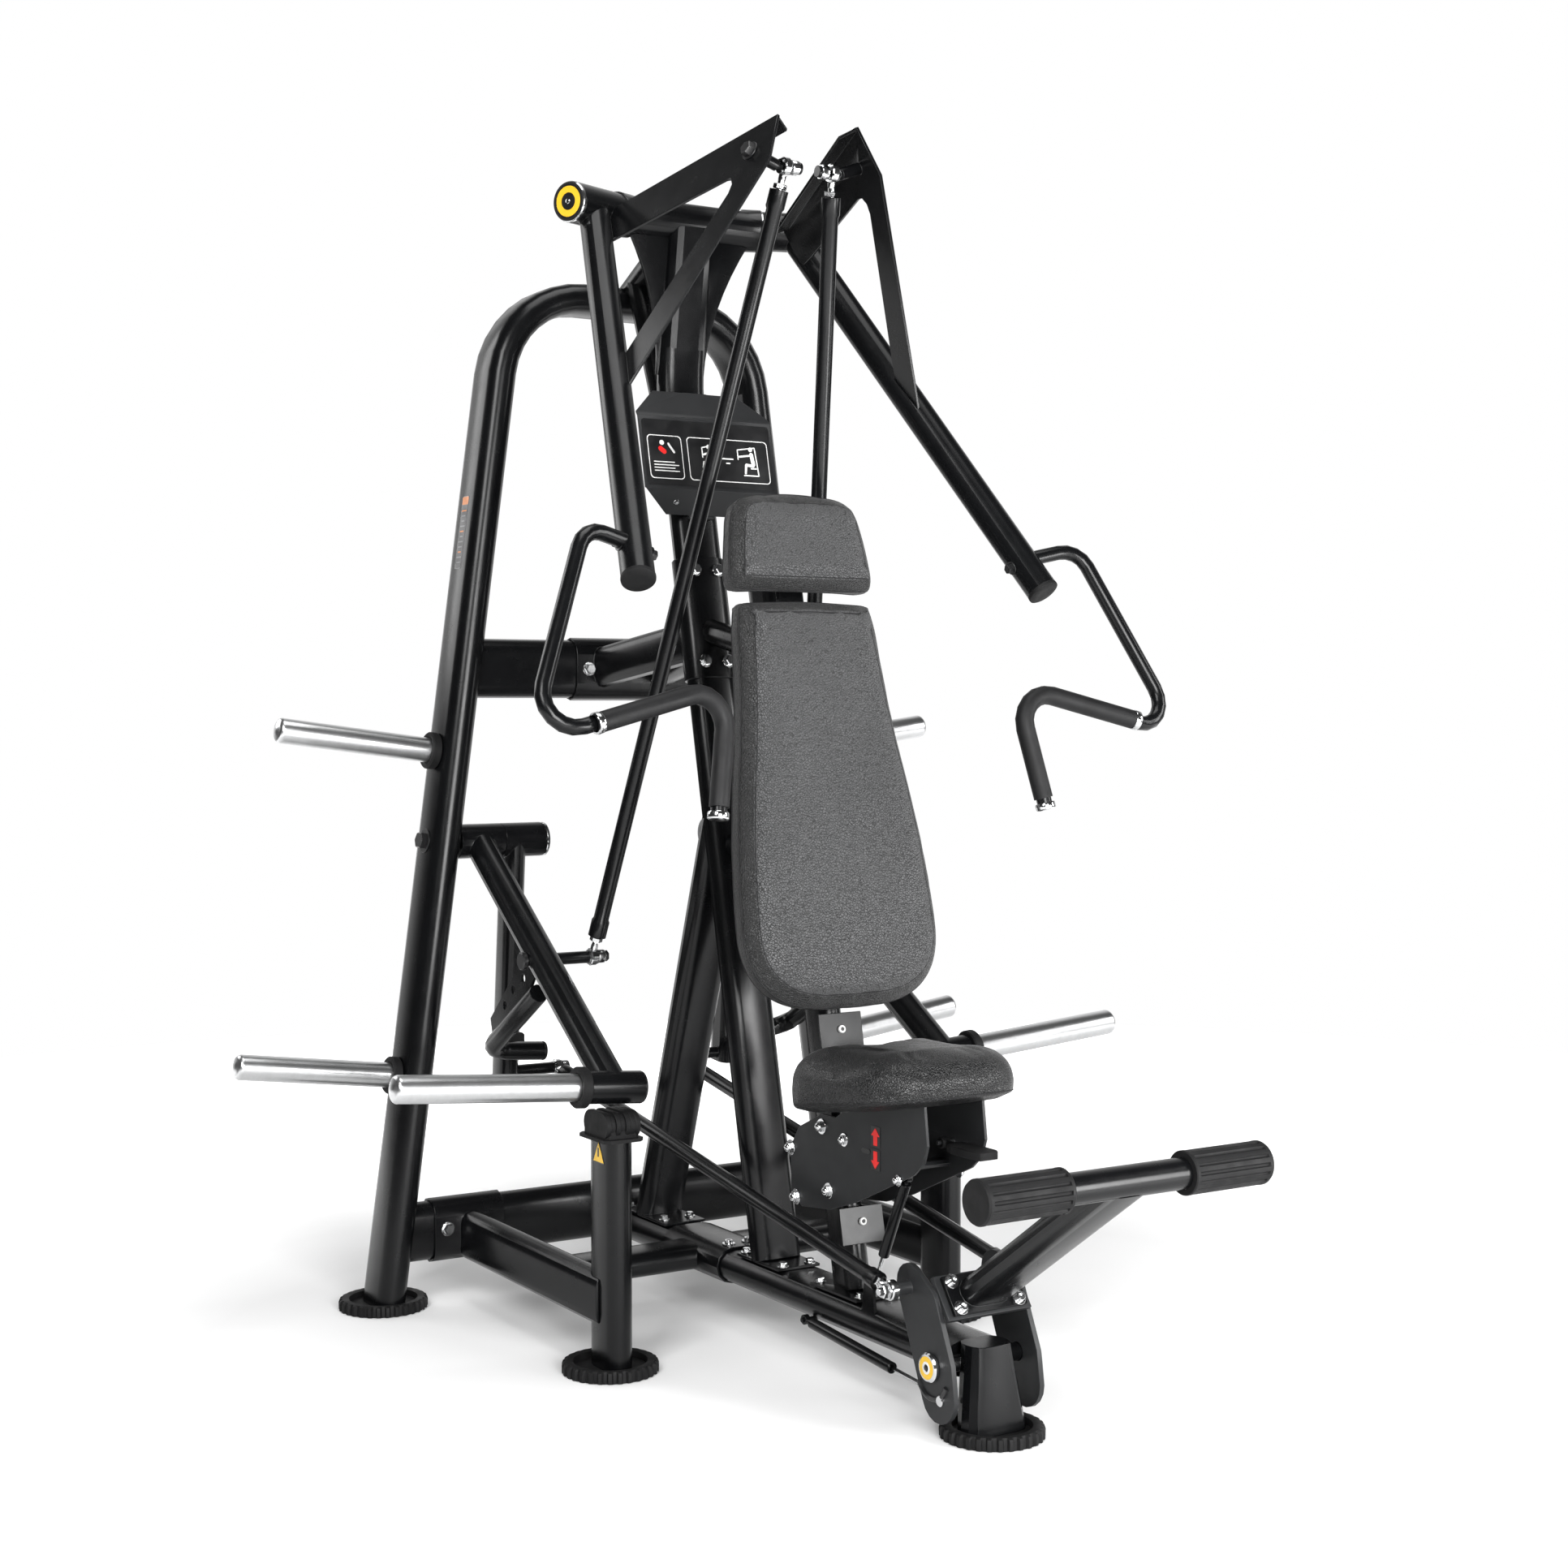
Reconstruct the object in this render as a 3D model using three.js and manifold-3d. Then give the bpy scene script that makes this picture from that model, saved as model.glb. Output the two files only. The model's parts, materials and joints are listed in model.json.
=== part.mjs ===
// Plate-loaded chest press machine, seated, with converging press arms and a foot start-assist.
// Millimetres. +Z up. X is lateral and the machine is symmetric about x = 0; the user faces -Y.
// The origin is on the floor under the middle of the machine.
import * as THREE from 'three';
import { mergeVertices } from 'three/addons/utils/BufferGeometryUtils.js';
import Module from 'manifold-3d';

const wasm = await Module();
wasm.setup();

// ---- Driving dimensions -------------------------------------------------------------------
const GAP = 0.3;                      // air left between two parts that touch
const FRAME_TUBE = { wide: 120, thin: 60 };
const POST_TUBE = { wide: 100, thin: 50 };
const SADDLE = 6;                     // thickness of the foot plates welded under the uprights
const ARCH_Y = 762;                   // plane of the rear arch
const LEG_FOOT_X = 550;               // arch leg's centre line where it would meet the floor
const LEG_LEAN = 0.135;               // how far the arch leg moves inward for each mm of height
const ARCH_TOP = 2036;
const ARCH_BEND = 190;
const REAR_BEAM_Z = 144;
const CROSS_BEAM_Z = 1276;
const BASE_Z = 120;                   // centre height of the flat main beam and the cross ties
const BEAM_FRONT_Y = -468;
const FOOT = { radius: 88, height: 22, seat: 9, dish: 66 };
const POST = { x: 365, y: 134, top: 424 };
const UPRIGHT = { y: 161, z: 156, lean: 0.222, top: 1392 };
const SEAT_POST = { y: -101, z: 156, lean: 0.205, length: 500, wide: 80, thin: 50 };
const T_BAR = { y: 498, z: 2161, half: 149, radius: 37 };
const HUB_YAW = THREE.MathUtils.degToRad(24);
const HUB_DIP = THREE.MathUtils.degToRad(1);
const HUB = { radius: 39, start: 21, end: 152, bore: 20.6, shaft: 20, arm: 84 };
const ARM_RADIUS = 30;
const HORN = { radius: 25, length: 336, dome: 12 };
const PIVOT_Z = 926;                  // rear hub of the weight arms and of the assist levers
const REAR_HUB = { radius: 35, bore: 15.6, shaft: 15, split: 291, inner: 201, outer: 388 };
const PEDAL_AXIS = { y: -475, z: 118, shaft: 15, bore: 15.6 };
const PEDAL_PLATE = { x: 88, thick: 10 };
const ROUND = 16;                     // sides of an ordinary round part
const PIN = 7;                        // radius of the pins through the rod ends
const PRESS_PIN = 6;                  // the press arms' pins are slimmer, for the rods' swing
const STUD = 12;                      // radius of the shanks that carry the pins
const NUT = { radius: 11, start: 13, end: 33 };
const EYE = { radius: 18, half: 7 };  // ring of a rod end
const PIN_HOLE = 7.6;                 // snug hole on a pin
const SMALL_EYE = { radius: 9, half: 5, hole: 4.6, pin: 4 };   // eyes of the damper and the gas spring
// Rear arch, base and feet.
const HORN_HEIGHTS = { upper: 1105, lower: 459 };
const TIE_Y = 400;
const STRUT = { x: 372, z: 131 };
const SLEEVE_X = { inner: 300, outer: 452 };
const REAR_FOOT = { x: 548, y: 766 };
const FRONT_FOOT_Y = -517;
const FRONT_LEG = { top: 152, y: BEAM_FRONT_Y - 30, forward: 18, topWide: 82, lowWide: 127, thin: 60 };
// Mast and its braces.
const REAR_LEG = { lowY: 624, topY: 372, topZ: 930 };
const MAST_KNEE = { y: 533, z: 1838 };
const MAST_TOP = { y: 486, z: 2150 };
const BRACE_KNEE = { y: 694, z: 2072 };
const BRACE_FOOT_Z = 1510;
const BRACE_TUBE = { wide: 60, thin: 46 };
const MAST_SLEEVE = { low: 1250, high: 1488 };
const CROSS_SLEEVE_X = 131;
// Pads.
const PAD_THICK = 72;
const BACKREST_BOTTOM = 656;
const SEAT = { half: 162, rear: -108, front: -436, low: 488, slope: 0.161, top: 600, nose: 616, tail: 54 };
// Press arms, tie rods and weight arms.
const ARM_END = { x: 431, y: -97, z: 1416 };
const BRACKET = { x: 84, y: 14, z: 2259, thick: 6, flange: 36 };
const ROD_TOP = { x: 51, y: 47, z: 2177 };
const ROD_LOW = { x: 240, y: 452, z: 714 };
const FRONT_HORN = { y: 126, inner: 311, outer: 420, tip: 790, z: 513, rise: 0.0793 };
// Foot start-assist.
const LEVER = { x: 262, wide: 70, thin: 40, lowY: 806, lowZ: 424 };
const LINK_REAR = { x: 145, y: 801, z: 443 };
const LINK_FRONT = { x: 128, y: -410, z: 236 };
const CROSS_PLATE = { y: -486, z: 230, half: 85, tall: 78, thick: 10 };
const BAR = { y: -844, z: 480, radius: 25, half: 268 };
const ROLLER = { inner: 118, outer: 280, radius: 35 };
const DAMPER_PIN = { y: -492, z: 62, radius: 5 };
const DAMPER = { x: -66, rearY: -48, rearZ: 94, split: 0.62 };
// Seat carriage, gas spring and release lever.
const CARRIAGE = { x: 60, thick: 6, wheel: 15, axle: 8 };
const ROLLERS = [[409, -56], [322, -56], [441, 56], [330, 56]];   // height, distance in front of the post
const STOP_REACH = 54;
const GAS = { x: -34, topY: -322, topZ: 398, lowY: -222, lowZ: 190, tube: 9.6, bore: 7.8, rod: 3.8 };
const RELEASE = { x: 36, y: -330, z: 452, tipY: -470, thick: 14 };

const v = (x, y, z) => new THREE.Vector3(x, y, z);
const legX = (z) => LEG_FOOT_X - LEG_LEAN * z;
const uprightY = (z) => UPRIGHT.y + UPRIGHT.lean * (z - UPRIGHT.z);
const seatPostY = (z) => SEAT_POST.y + SEAT_POST.lean * (z - SEAT_POST.z);
const X = v(1, 0, 0);
const Y = v(0, 1, 0);
const Z = v(0, 0, 1);

// ---- Sections and routes ------------------------------------------------------------------
function circle(radius, sides = ROUND) {
  const points = [];
  for (let i = 0; i < sides; i++) {
    const a = (i / sides) * Math.PI * 2;
    points.push(new THREE.Vector2(radius * Math.cos(a), radius * Math.sin(a)));
  }
  return points;
}

// Flat-oval tube section: wide along the section's first axis, thin along its second.
function oval(wide, thin, arcSteps = 6) {
  const r = thin / 2;
  const flat = wide / 2 - r;
  const points = [];
  for (const side of [1, -1]) {
    for (let i = 0; i <= arcSteps; i++) {
      const a = -Math.PI / 2 + (i / arcSteps) * Math.PI;
      points.push(new THREE.Vector2(side * (flat + r * Math.cos(a)), side * r * Math.sin(a)));
    }
  }
  return points;
}

// A route of straight runs joined by round bends, with a station only where the tube needs one.
class Route extends THREE.Curve {
  constructor(corners, bend, side, turnStep = 0.17) {
    super();
    this.side = side;
    this.places = [corners[0]];
    this.headings = [corners[1].clone().sub(corners[0]).normalize()];
    for (let i = 1; i < corners.length - 1; i++) {
      this.addBend(corners[i - 1], corners[i], corners[i + 1], bend, turnStep);
    }
    const last = corners.length - 1;
    this.places.push(corners[last]);
    this.headings.push(corners[last].clone().sub(corners[last - 1]).normalize());
  }

  addBend(before, corner, after, bend, turnStep) {
    const into = corner.clone().sub(before).normalize();
    const out = after.clone().sub(corner).normalize();
    const turn = into.angleTo(out);
    const reach = bend * Math.tan(turn / 2);
    const inward = out.clone().addScaledVector(into, -out.dot(into)).normalize();
    const centre = corner.clone().addScaledVector(into, -reach).addScaledVector(inward, bend);
    const steps = Math.max(2, Math.round(turn / turnStep));
    for (let i = 0; i <= steps; i++) {
      const a = (i / steps) * turn;
      const place = centre.clone().addScaledVector(inward, -bend * Math.cos(a));
      this.places.push(place.addScaledVector(into, bend * Math.sin(a)));
      const heading = into.clone().multiplyScalar(Math.cos(a));
      this.headings.push(heading.addScaledVector(inward, Math.sin(a)));
    }
  }

  get steps() {
    return this.places.length - 1;
  }

  getPointAt(u) {
    return this.places[Math.round(u * this.steps)].clone();
  }

  getTangentAt(u) {
    return this.headings[Math.round(u * this.steps)].clone();
  }

  computeFrenetFrames() {
    const normals = this.headings.map((t) => this.side.clone().addScaledVector(t, -this.side.dot(t)));
    normals.forEach((n) => n.normalize());
    const binormals = this.headings.map((t, i) => t.clone().cross(normals[i]));
    return { tangents: this.headings, normals, binormals };
  }
}

// ---- Solids -------------------------------------------------------------------------------
function solid(geometry) {
  const bare = geometry.clone();
  bare.deleteAttribute('normal');
  bare.deleteAttribute('uv');
  const merged = mergeVertices(bare, 1e-3);
  const vertProperties = new Float32Array(merged.attributes.position.array);
  const triVerts = new Uint32Array(merged.index.array);
  return new wasm.Manifold(new wasm.Mesh({ numProp: 3, vertProperties, triVerts }));
}

function join(...parts) {
  return parts.reduce((whole, part) => whole.add(part));
}

function cut(body, ...tools) {
  return tools.reduce((rest, tool) => rest.subtract(tool), body);
}

// The biggest of the pieces a cut leaves.
function largest(body) {
  return body.decompose().sort((a, b) => b.volume() - a.volume())[0];
}

function shapeOf(points, holes = []) {
  const shape = new THREE.Shape(points);
  shape.holes = holes.map((hole) => new THREE.Path(hole));
  return shape;
}

// Sweeps a section along corners. side is the direction of the section's first axis.
function sweep(section, corners, { bend = 0, side = Z, turnStep, holes } = {}) {
  const route = new Route(corners, bend, side, turnStep);
  const options = { steps: route.steps, extrudePath: route, bevelEnabled: false };
  return solid(new THREE.ExtrudeGeometry(shapeOf(section, holes), options));
}

function anySide(from, to) {
  const along = to.clone().sub(from).normalize();
  return Math.abs(along.z) < 0.9 ? Z : X;
}

function rod(from, to, radius, sides = ROUND) {
  return sweep(circle(radius, sides), [from, to], { side: anySide(from, to) });
}

// A rod along X, centred on a place.
function crossRod(place, half, radius, sides = ROUND) {
  return rod(place.clone().add(v(-half, 0, 0)), place.clone().add(v(half, 0, 0)), radius, sides);
}

// A rod along X between two distances from the middle plane, on the side given.
function sideRod(side, place, fromX, toX, radius, sides = ROUND) {
  return rod(v(side * fromX, place.y, place.z), v(side * toX, place.y, place.z), radius, sides);
}

function rectangle(halfA, halfB) {
  return flat([-halfA, -halfB], [halfA, -halfB], [halfA, halfB], [-halfA, halfB]);
}

// A flat plate: outline in the plane of u and w, half its thickness each side of origin.
function plate(outline, thick, origin, u, w, holes = []) {
  const shape = shapeOf(outline, holes);
  const geometry = new THREE.ExtrudeGeometry(shape, { depth: thick, bevelEnabled: false });
  geometry.translate(0, 0, -thick / 2);
  geometry.applyMatrix4(new THREE.Matrix4().makeBasis(u, w, u.clone().cross(w)).setPosition(origin));
  return solid(geometry);
}

function flat(...pairs) {
  return pairs.map(([a, b]) => new THREE.Vector2(a, b));
}

// Smallest outline round a row of circles, each { x, y, r }.
function wrap(circles, sides = 18) {
  const points = [];
  for (const { x, y, r } of circles) {
    points.push(...circle(r, sides).map((p) => new THREE.Vector2(x + p.x, y + p.y)));
  }
  points.sort((a, b) => a.x - b.x || a.y - b.y);
  const turn = (o, a, b) => (a.x - o.x) * (b.y - o.y) - (a.y - o.y) * (b.x - o.x);
  const chain = (row) => {
    const kept = [];
    for (const p of row) {
      while (kept.length > 1 && turn(kept[kept.length - 2], kept[kept.length - 1], p) <= 1e-6) kept.pop();
      kept.push(p);
    }
    return kept.slice(0, -1);
  };
  return [...chain(points), ...chain([...points].reverse())];
}

function moveOutline(points, x, y) {
  return points.map((p) => new THREE.Vector2(p.x + x, p.y + y));
}

// ---- Finishes -----------------------------------------------------------------------------
const FINISH = {
  powder: { color: 0x1b1c1d, roughness: 0.42, metalness: 0.3 },
  plate: { color: 0x2a2b2c, roughness: 0.5, metalness: 0.3 },
  chrome: { color: 0xd9dbdd, roughness: 0.16, metalness: 1 },
  rubber: { color: 0x141414, roughness: 0.75, metalness: 0 },
  vinyl: { color: 0x2d2e30, roughness: 0.6, metalness: 0 },
  leather: { color: 0x121314, roughness: 0.45, metalness: 0 },
};

const machine = new THREE.Group();

function add(name, finish, body) {
  const { numProp, vertProperties, triVerts } = body.getMesh();
  const geometry = new THREE.BufferGeometry();
  geometry.setAttribute('position', new THREE.BufferAttribute(vertProperties, numProp));
  geometry.setIndex(new THREE.BufferAttribute(triVerts, 1));
  geometry.computeVertexNormals();
  const mesh = new THREE.Mesh(geometry, new THREE.MeshStandardMaterial(FINISH[finish]));
  mesh.name = name;
  machine.add(mesh);
}

function bothSides(make) {
  make(-1, 'left');
  make(1, 'right');
}

// ---- Rear arch and its shafts -------------------------------------------------------------
const RISE = v(-LEG_LEAN, 0, 1).normalize();    // direction of the right leg, going up

function archTube(grow = 0) {
  const section = oval(FRAME_TUBE.wide + 2 * grow, FRAME_TUBE.thin + 2 * grow);
  const foot = FOOT.seat - 12;
  const corners = [
    v(-legX(foot), ARCH_Y, foot),
    v(-legX(ARCH_TOP), ARCH_Y, ARCH_TOP),
    v(legX(ARCH_TOP), ARCH_Y, ARCH_TOP),
    v(legX(foot), ARCH_Y, foot),
  ];
  return sweep(section, corners, { bend: ARCH_BEND, side: Y });
}

const REAR_AXIS = { y: ARCH_Y, z: PIVOT_Z };

function onRearAxis(side, x) {
  return v(side * x, REAR_AXIS.y, REAR_AXIS.z);
}

function rearShaft(side) {
  const end = onRearAxis(side, REAR_HUB.inner - 8);
  const shaft = rod(end, onRearAxis(side, legX(PIVOT_Z)), REAR_HUB.shaft);
  return join(shaft, rod(end, onRearAxis(side, REAR_HUB.inner - 1), 31));
}

// A block that clears everything below a height.
function below(z) {
  return plate(rectangle(900, 900), 200, v(0, 0, z - 100), X, Y);
}

add('rear_arch', 'powder', cut(join(archTube(), rearShaft(-1), rearShaft(1)), below(FOOT.seat + GAP)));

function rearBeam(z, grow = 0) {
  const reach = legX(z);
  const section = oval(FRAME_TUBE.wide + 2 * grow, FRAME_TUBE.thin + 2 * grow);
  return sweep(section, [v(-reach, ARCH_Y, z), v(reach, ARCH_Y, z)], { side: Z });
}

add('rear_base_beam', 'powder', cut(rearBeam(REAR_BEAM_Z), archTube(GAP)));
add('upper_cross_beam', 'powder', cut(rearBeam(CROSS_BEAM_Z), archTube(GAP)));

// ---- Plate horns on the rear arch ---------------------------------------------------------
function horn(origin, along, length) {
  const profile = [new THREE.Vector2(0, 0), new THREE.Vector2(HORN.radius, 0)];
  const arc = 3;
  for (let i = 0; i < arc; i++) {
    const a = (i / arc) * (Math.PI / 2);
    const r = HORN.radius - 9 + 9 * Math.cos(a);
    profile.push(new THREE.Vector2(r, length - HORN.dome + HORN.dome * 0.8 * Math.sin(a)));
  }
  profile.push(new THREE.Vector2(0, length));
  const geometry = new THREE.LatheGeometry(profile, 18);
  geometry.applyQuaternion(new THREE.Quaternion().setFromUnitVectors(Y, along));
  geometry.translate(origin.x, origin.y, origin.z);
  return solid(geometry);
}

bothSides((side, name) => {
  const along = v(side * RISE.z, 0, -RISE.x).normalize();
  for (const [level, z] of Object.entries(HORN_HEIGHTS)) {
    const skin = FRAME_TUBE.thin / 2 + GAP;
    const origin = v(side * legX(z), ARCH_Y, z).addScaledVector(along, skin);
    add(`${name}_${level}_horn`, 'chrome', horn(origin, along, HORN.length));
  }
});

// ---- Base ---------------------------------------------------------------------------------
function mainBeam(grow = 0) {
  const section = oval(FRAME_TUBE.wide + 2 * grow, FRAME_TUBE.thin + 2 * grow);
  const rear = v(0, ARCH_Y, BASE_Z);
  return sweep(section, [v(0, BEAM_FRONT_Y + GAP, BASE_Z), rear], { side: X });
}

function baseStrut(side, grow = 0) {
  const section = oval(POST_TUBE.wide + 2 * grow, POST_TUBE.thin + 2 * grow);
  const front = v(side * STRUT.x, POST.y, STRUT.z);
  return sweep(section, [front, v(side * STRUT.x, ARCH_Y, STRUT.z)], { side: Z });
}

function post(side, grow = 0) {
  const section = oval(POST_TUBE.wide + 2 * grow, POST_TUBE.thin + 2 * grow);
  const low = v(side * POST.x, POST.y, FOOT.seat + GAP);
  return sweep(section, [low, v(side * POST.x, POST.y, POST.top)], { side: Y });
}

// Sleeve that slips over a flat-oval beam, 5 mm thick.
function sleeve(beam, from, to, side, wall = 5) {
  const outer = oval(beam.wide + 2 * wall, beam.thin + 2 * wall);
  const inner = oval(beam.wide + 2 * GAP, beam.thin + 2 * GAP);
  return sweep(outer, [from, to], { side, holes: [inner] });
}

bothSides((side, name) => {
  const inner = v(side * SLEEVE_X.inner, ARCH_Y, REAR_BEAM_Z);
  const outer = v(side * SLEEVE_X.outer, ARCH_Y, REAR_BEAM_Z);
  const strut = cut(baseStrut(side), rearBeam(REAR_BEAM_Z, GAP), post(side, GAP));
  add(`${name}_base_strut`, 'powder', join(strut, sleeve(FRAME_TUBE, inner, outer, Z)));
  add(`${name}_post`, 'powder', post(side));
});

function baseTies() {
  const section = oval(POST_TUBE.wide, POST_TUBE.thin);
  const across = sweep(section, [v(-STRUT.x, TIE_Y, BASE_Z), v(STRUT.x, TIE_Y, BASE_Z)], { side: Y });
  const collar = sleeve(FRAME_TUBE, v(0, TIE_Y - 128, BASE_Z), v(0, TIE_Y + 92, BASE_Z), X);
  return join(cut(across, mainBeam(GAP), baseStrut(-1, GAP), baseStrut(1, GAP)), collar);
}

add('base_cross_ties', 'powder', baseTies());

// Rubber foot: a heavy rim round a shallow dish.
function foot(x, y) {
  const edge = 3;
  const profile = [
    [0, 0], [FOOT.radius - edge, 0], [FOOT.radius, edge], [FOOT.radius, FOOT.height - edge],
    [FOOT.radius - edge, FOOT.height], [FOOT.dish + 4, FOOT.height], [FOOT.dish, FOOT.seat], [0, FOOT.seat],
  ];
  const geometry = new THREE.LatheGeometry(flat(...profile), 24);
  geometry.rotateX(Math.PI / 2);
  geometry.translate(x, y, 0);
  return solid(geometry);
}

bothSides((side, name) => {
  add(`${name}_rear_foot`, 'rubber', foot(side * REAR_FOOT.x, REAR_FOOT.y));
  add(`${name}_post_foot`, 'rubber', foot(side * POST.x, POST.y + 5));
});
add('front_foot', 'rubber', foot(0, FRONT_FOOT_Y));

// Front leg: a flat-oval stub that widens from the beam's end down to the foot.

function frontLeg() {
  const height = FRONT_LEG.top - FOOT.seat - GAP;
  const shape = shapeOf(oval(1, FRONT_LEG.thin / FRONT_LEG.lowWide));
  const geometry = new THREE.ExtrudeGeometry(shape, { depth: height, bevelEnabled: false });
  const place = geometry.attributes.position;
  for (let i = 0; i < place.count; i++) {
    const up = place.getZ(i) / height;
    const wide = THREE.MathUtils.lerp(FRONT_LEG.lowWide, FRONT_LEG.topWide, up);
    const y = FRONT_LEG.y - FRONT_LEG.forward * (1 - up) + place.getY(i) * FRONT_LEG.lowWide;
    place.setXYZ(i, place.getX(i) * wide, y, FOOT.seat + GAP + up * height);
  }
  const shaft = sideRod(1, PEDAL_AXIS, -103, 103, PEDAL_AXIS.shaft);
  return join(cut(solid(geometry), mainBeam(GAP)), cut(shaft, mainBeam(GAP)));
}

add('front_leg', 'powder', frontLeg());

// ---- Uprights -----------------------------------------------------------------------------
const BEAM_TOP = BASE_Z + FRAME_TUBE.thin / 2;
const LEAN = v(0, UPRIGHT.lean, 1).normalize();

function footPlate(y, length, wide = 92) {
  const middle = BEAM_TOP + GAP + (SADDLE - GAP) / 2;
  return plate(rectangle(wide / 2, length / 2), SADDLE - GAP, v(0, y, middle), X, Y);
}

function uprightTube(grow = 0, top = UPRIGHT.top) {
  const section = oval(POST_TUBE.wide + 2 * grow, POST_TUBE.thin + 2 * grow);
  const low = BEAM_TOP + 3;
  return sweep(section, [v(0, uprightY(low), low), v(0, uprightY(top), top)], { side: X });
}

const floorCut = below(BEAM_TOP + GAP);

add('front_upright', 'powder', join(cut(uprightTube(), floorCut), footPlate(UPRIGHT.y - 8, 150)));

function rearLeg() {
  const section = oval(POST_TUBE.wide, POST_TUBE.thin);
  const low = v(0, REAR_LEG.lowY, BEAM_TOP + 3);
  const run = sweep(section, [low, v(0, REAR_LEG.topY - 42, REAR_LEG.topZ + 100)], { side: X });
  return join(cut(run, floorCut, uprightTube(GAP)), footPlate(REAR_LEG.lowY - 20, 190));
}

add('rear_leg', 'powder', largest(rearLeg()));

// Mast above the sleeve: it leans back with the upright, then bends forward to the T-bar.

function mastTube(grow = 0) {
  const section = oval(POST_TUBE.wide + 2 * grow, POST_TUBE.thin + 2 * grow);
  const start = UPRIGHT.top + GAP;
  const low = v(0, uprightY(start), start);
  const corners = [low, v(0, MAST_KNEE.y, MAST_KNEE.z), v(0, MAST_TOP.y, MAST_TOP.z)];
  return sweep(section, corners, { bend: 420, side: X, turnStep: 0.09 });
}

function hubPoint(side, s) {
  const outward = side * Math.cos(HUB_YAW) * Math.cos(HUB_DIP);
  const along = v(outward, -Math.sin(HUB_YAW), -Math.sin(HUB_DIP)).normalize();
  return v(side * T_BAR.half, T_BAR.y, T_BAR.z).addScaledVector(along, s);
}

function tBar(grow = 0) {
  const bar = sideRod(1, T_BAR, -T_BAR.half, T_BAR.half, T_BAR.radius + grow, 24);
  const ends = [-1, 1].map((side) => {
    const flange = rod(hubPoint(side, -22), hubPoint(side, HUB.start - 3), 42 + grow, 24);
    return join(flange, rod(hubPoint(side, -40), hubPoint(side, HUB.end - 6), HUB.shaft + grow));
  });
  return join(bar, ...ends);
}

add('t_bar', 'powder', tBar());

// Curved gusset plates that spread the mast under the T-bar.
function mastGusset(side) {
  const points = [new THREE.Vector2(40, 2152), new THREE.Vector2(40, 1860)];
  for (let i = 0; i <= 8; i++) {
    const t = i / 8;
    points.push(new THREE.Vector2(54 + 84 * t * t, 1862 + 274 * t));
  }
  points.push(new THREE.Vector2(138, 2152));
  const outline = points.map((p) => new THREE.Vector2(side * p.x, p.y - MAST_KNEE.z));
  const up = v(0, MAST_TOP.y - MAST_KNEE.y, MAST_TOP.z - MAST_KNEE.z).normalize();
  return plate(outline, 8, v(0, MAST_KNEE.y, MAST_KNEE.z), X, up);
}

add('mast', 'powder', cut(join(mastTube(), mastGusset(-1), mastGusset(1)), tBar(GAP)));

// Two tubes meet on the arch's top: one runs up to the T-bar, one down to the mast.

function topLink(grow = 0) {
  const section = oval(BRACE_TUBE.wide + 2 * grow, BRACE_TUBE.thin + 2 * grow);
  return sweep(section, [v(0, 728, 2056), v(0, T_BAR.y, 2168)], { side: X });
}

function mastBrace() {
  const knee = v(0, BRACE_KNEE.y, BRACE_KNEE.z);
  const section = oval(BRACE_TUBE.wide, BRACE_TUBE.thin);
  return sweep(section, [knee, v(0, uprightY(BRACE_FOOT_Z), BRACE_FOOT_Z)], { side: X });
}

add('top_link', 'powder', largest(cut(topLink(), archTube(GAP), tBar(GAP), mastTube(GAP))));
add('mast_brace', 'powder', largest(cut(mastBrace(), archTube(GAP), topLink(GAP), mastTube(GAP))));

// Sleeve that joins mast and upright, with the two arms that run back to the cross beam.

function mastSleeve() {
  const low = v(0, uprightY(MAST_SLEEVE.low), MAST_SLEEVE.low);
  const high = v(0, uprightY(MAST_SLEEVE.high), MAST_SLEEVE.high);
  const bore = [low.clone().addScaledVector(LEAN, -20), high.clone().addScaledVector(LEAN, 20)];
  const shell = sweep(oval(110, 60), [low, high], { side: X });
  const arms = [-1, 1].map((side) => {
    const rear = v(side * 74, ARCH_Y, CROSS_BEAM_Z);
    return sweep(oval(84, 46), [v(side * 20, uprightY(1330), 1330), rear], { side: Z });
  });
  const across = [-1, 1].map((side) => v(side * CROSS_SLEEVE_X, ARCH_Y, CROSS_BEAM_Z));
  const collar = sweep(oval(FRAME_TUBE.wide + 10, FRAME_TUBE.thin + 10), across, { side: Z });
  const slot = sweep(oval(POST_TUBE.wide + 2 * GAP, POST_TUBE.thin + 2 * GAP), bore, { side: X });
  return cut(join(shell, collar, ...arms), slot, rearBeam(CROSS_BEAM_Z, GAP));
}

add('mast_sleeve', 'powder', largest(mastSleeve()));

// ---- Backrest and headrest ----------------------------------------------------------------
const PAD_LEAN = v(0, 0.212, 1).normalize();
const PAD_OUT = v(0, -1, 0.212).normalize();
const PAD_MID = v(0, 57, 1341);

function padPlace(z, out = 0) {
  const up = (z - PAD_MID.z) / PAD_LEAN.z;
  return PAD_MID.clone().addScaledVector(PAD_LEAN, up).addScaledVector(PAD_OUT, out);
}

// Height and half width down the backrest's edge.
const BACKREST_HALF = [
  [1388, 146], [1341, 152], [1278, 157], [1128, 174], [1002, 193], [897, 204], [790, 210],
];

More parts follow.
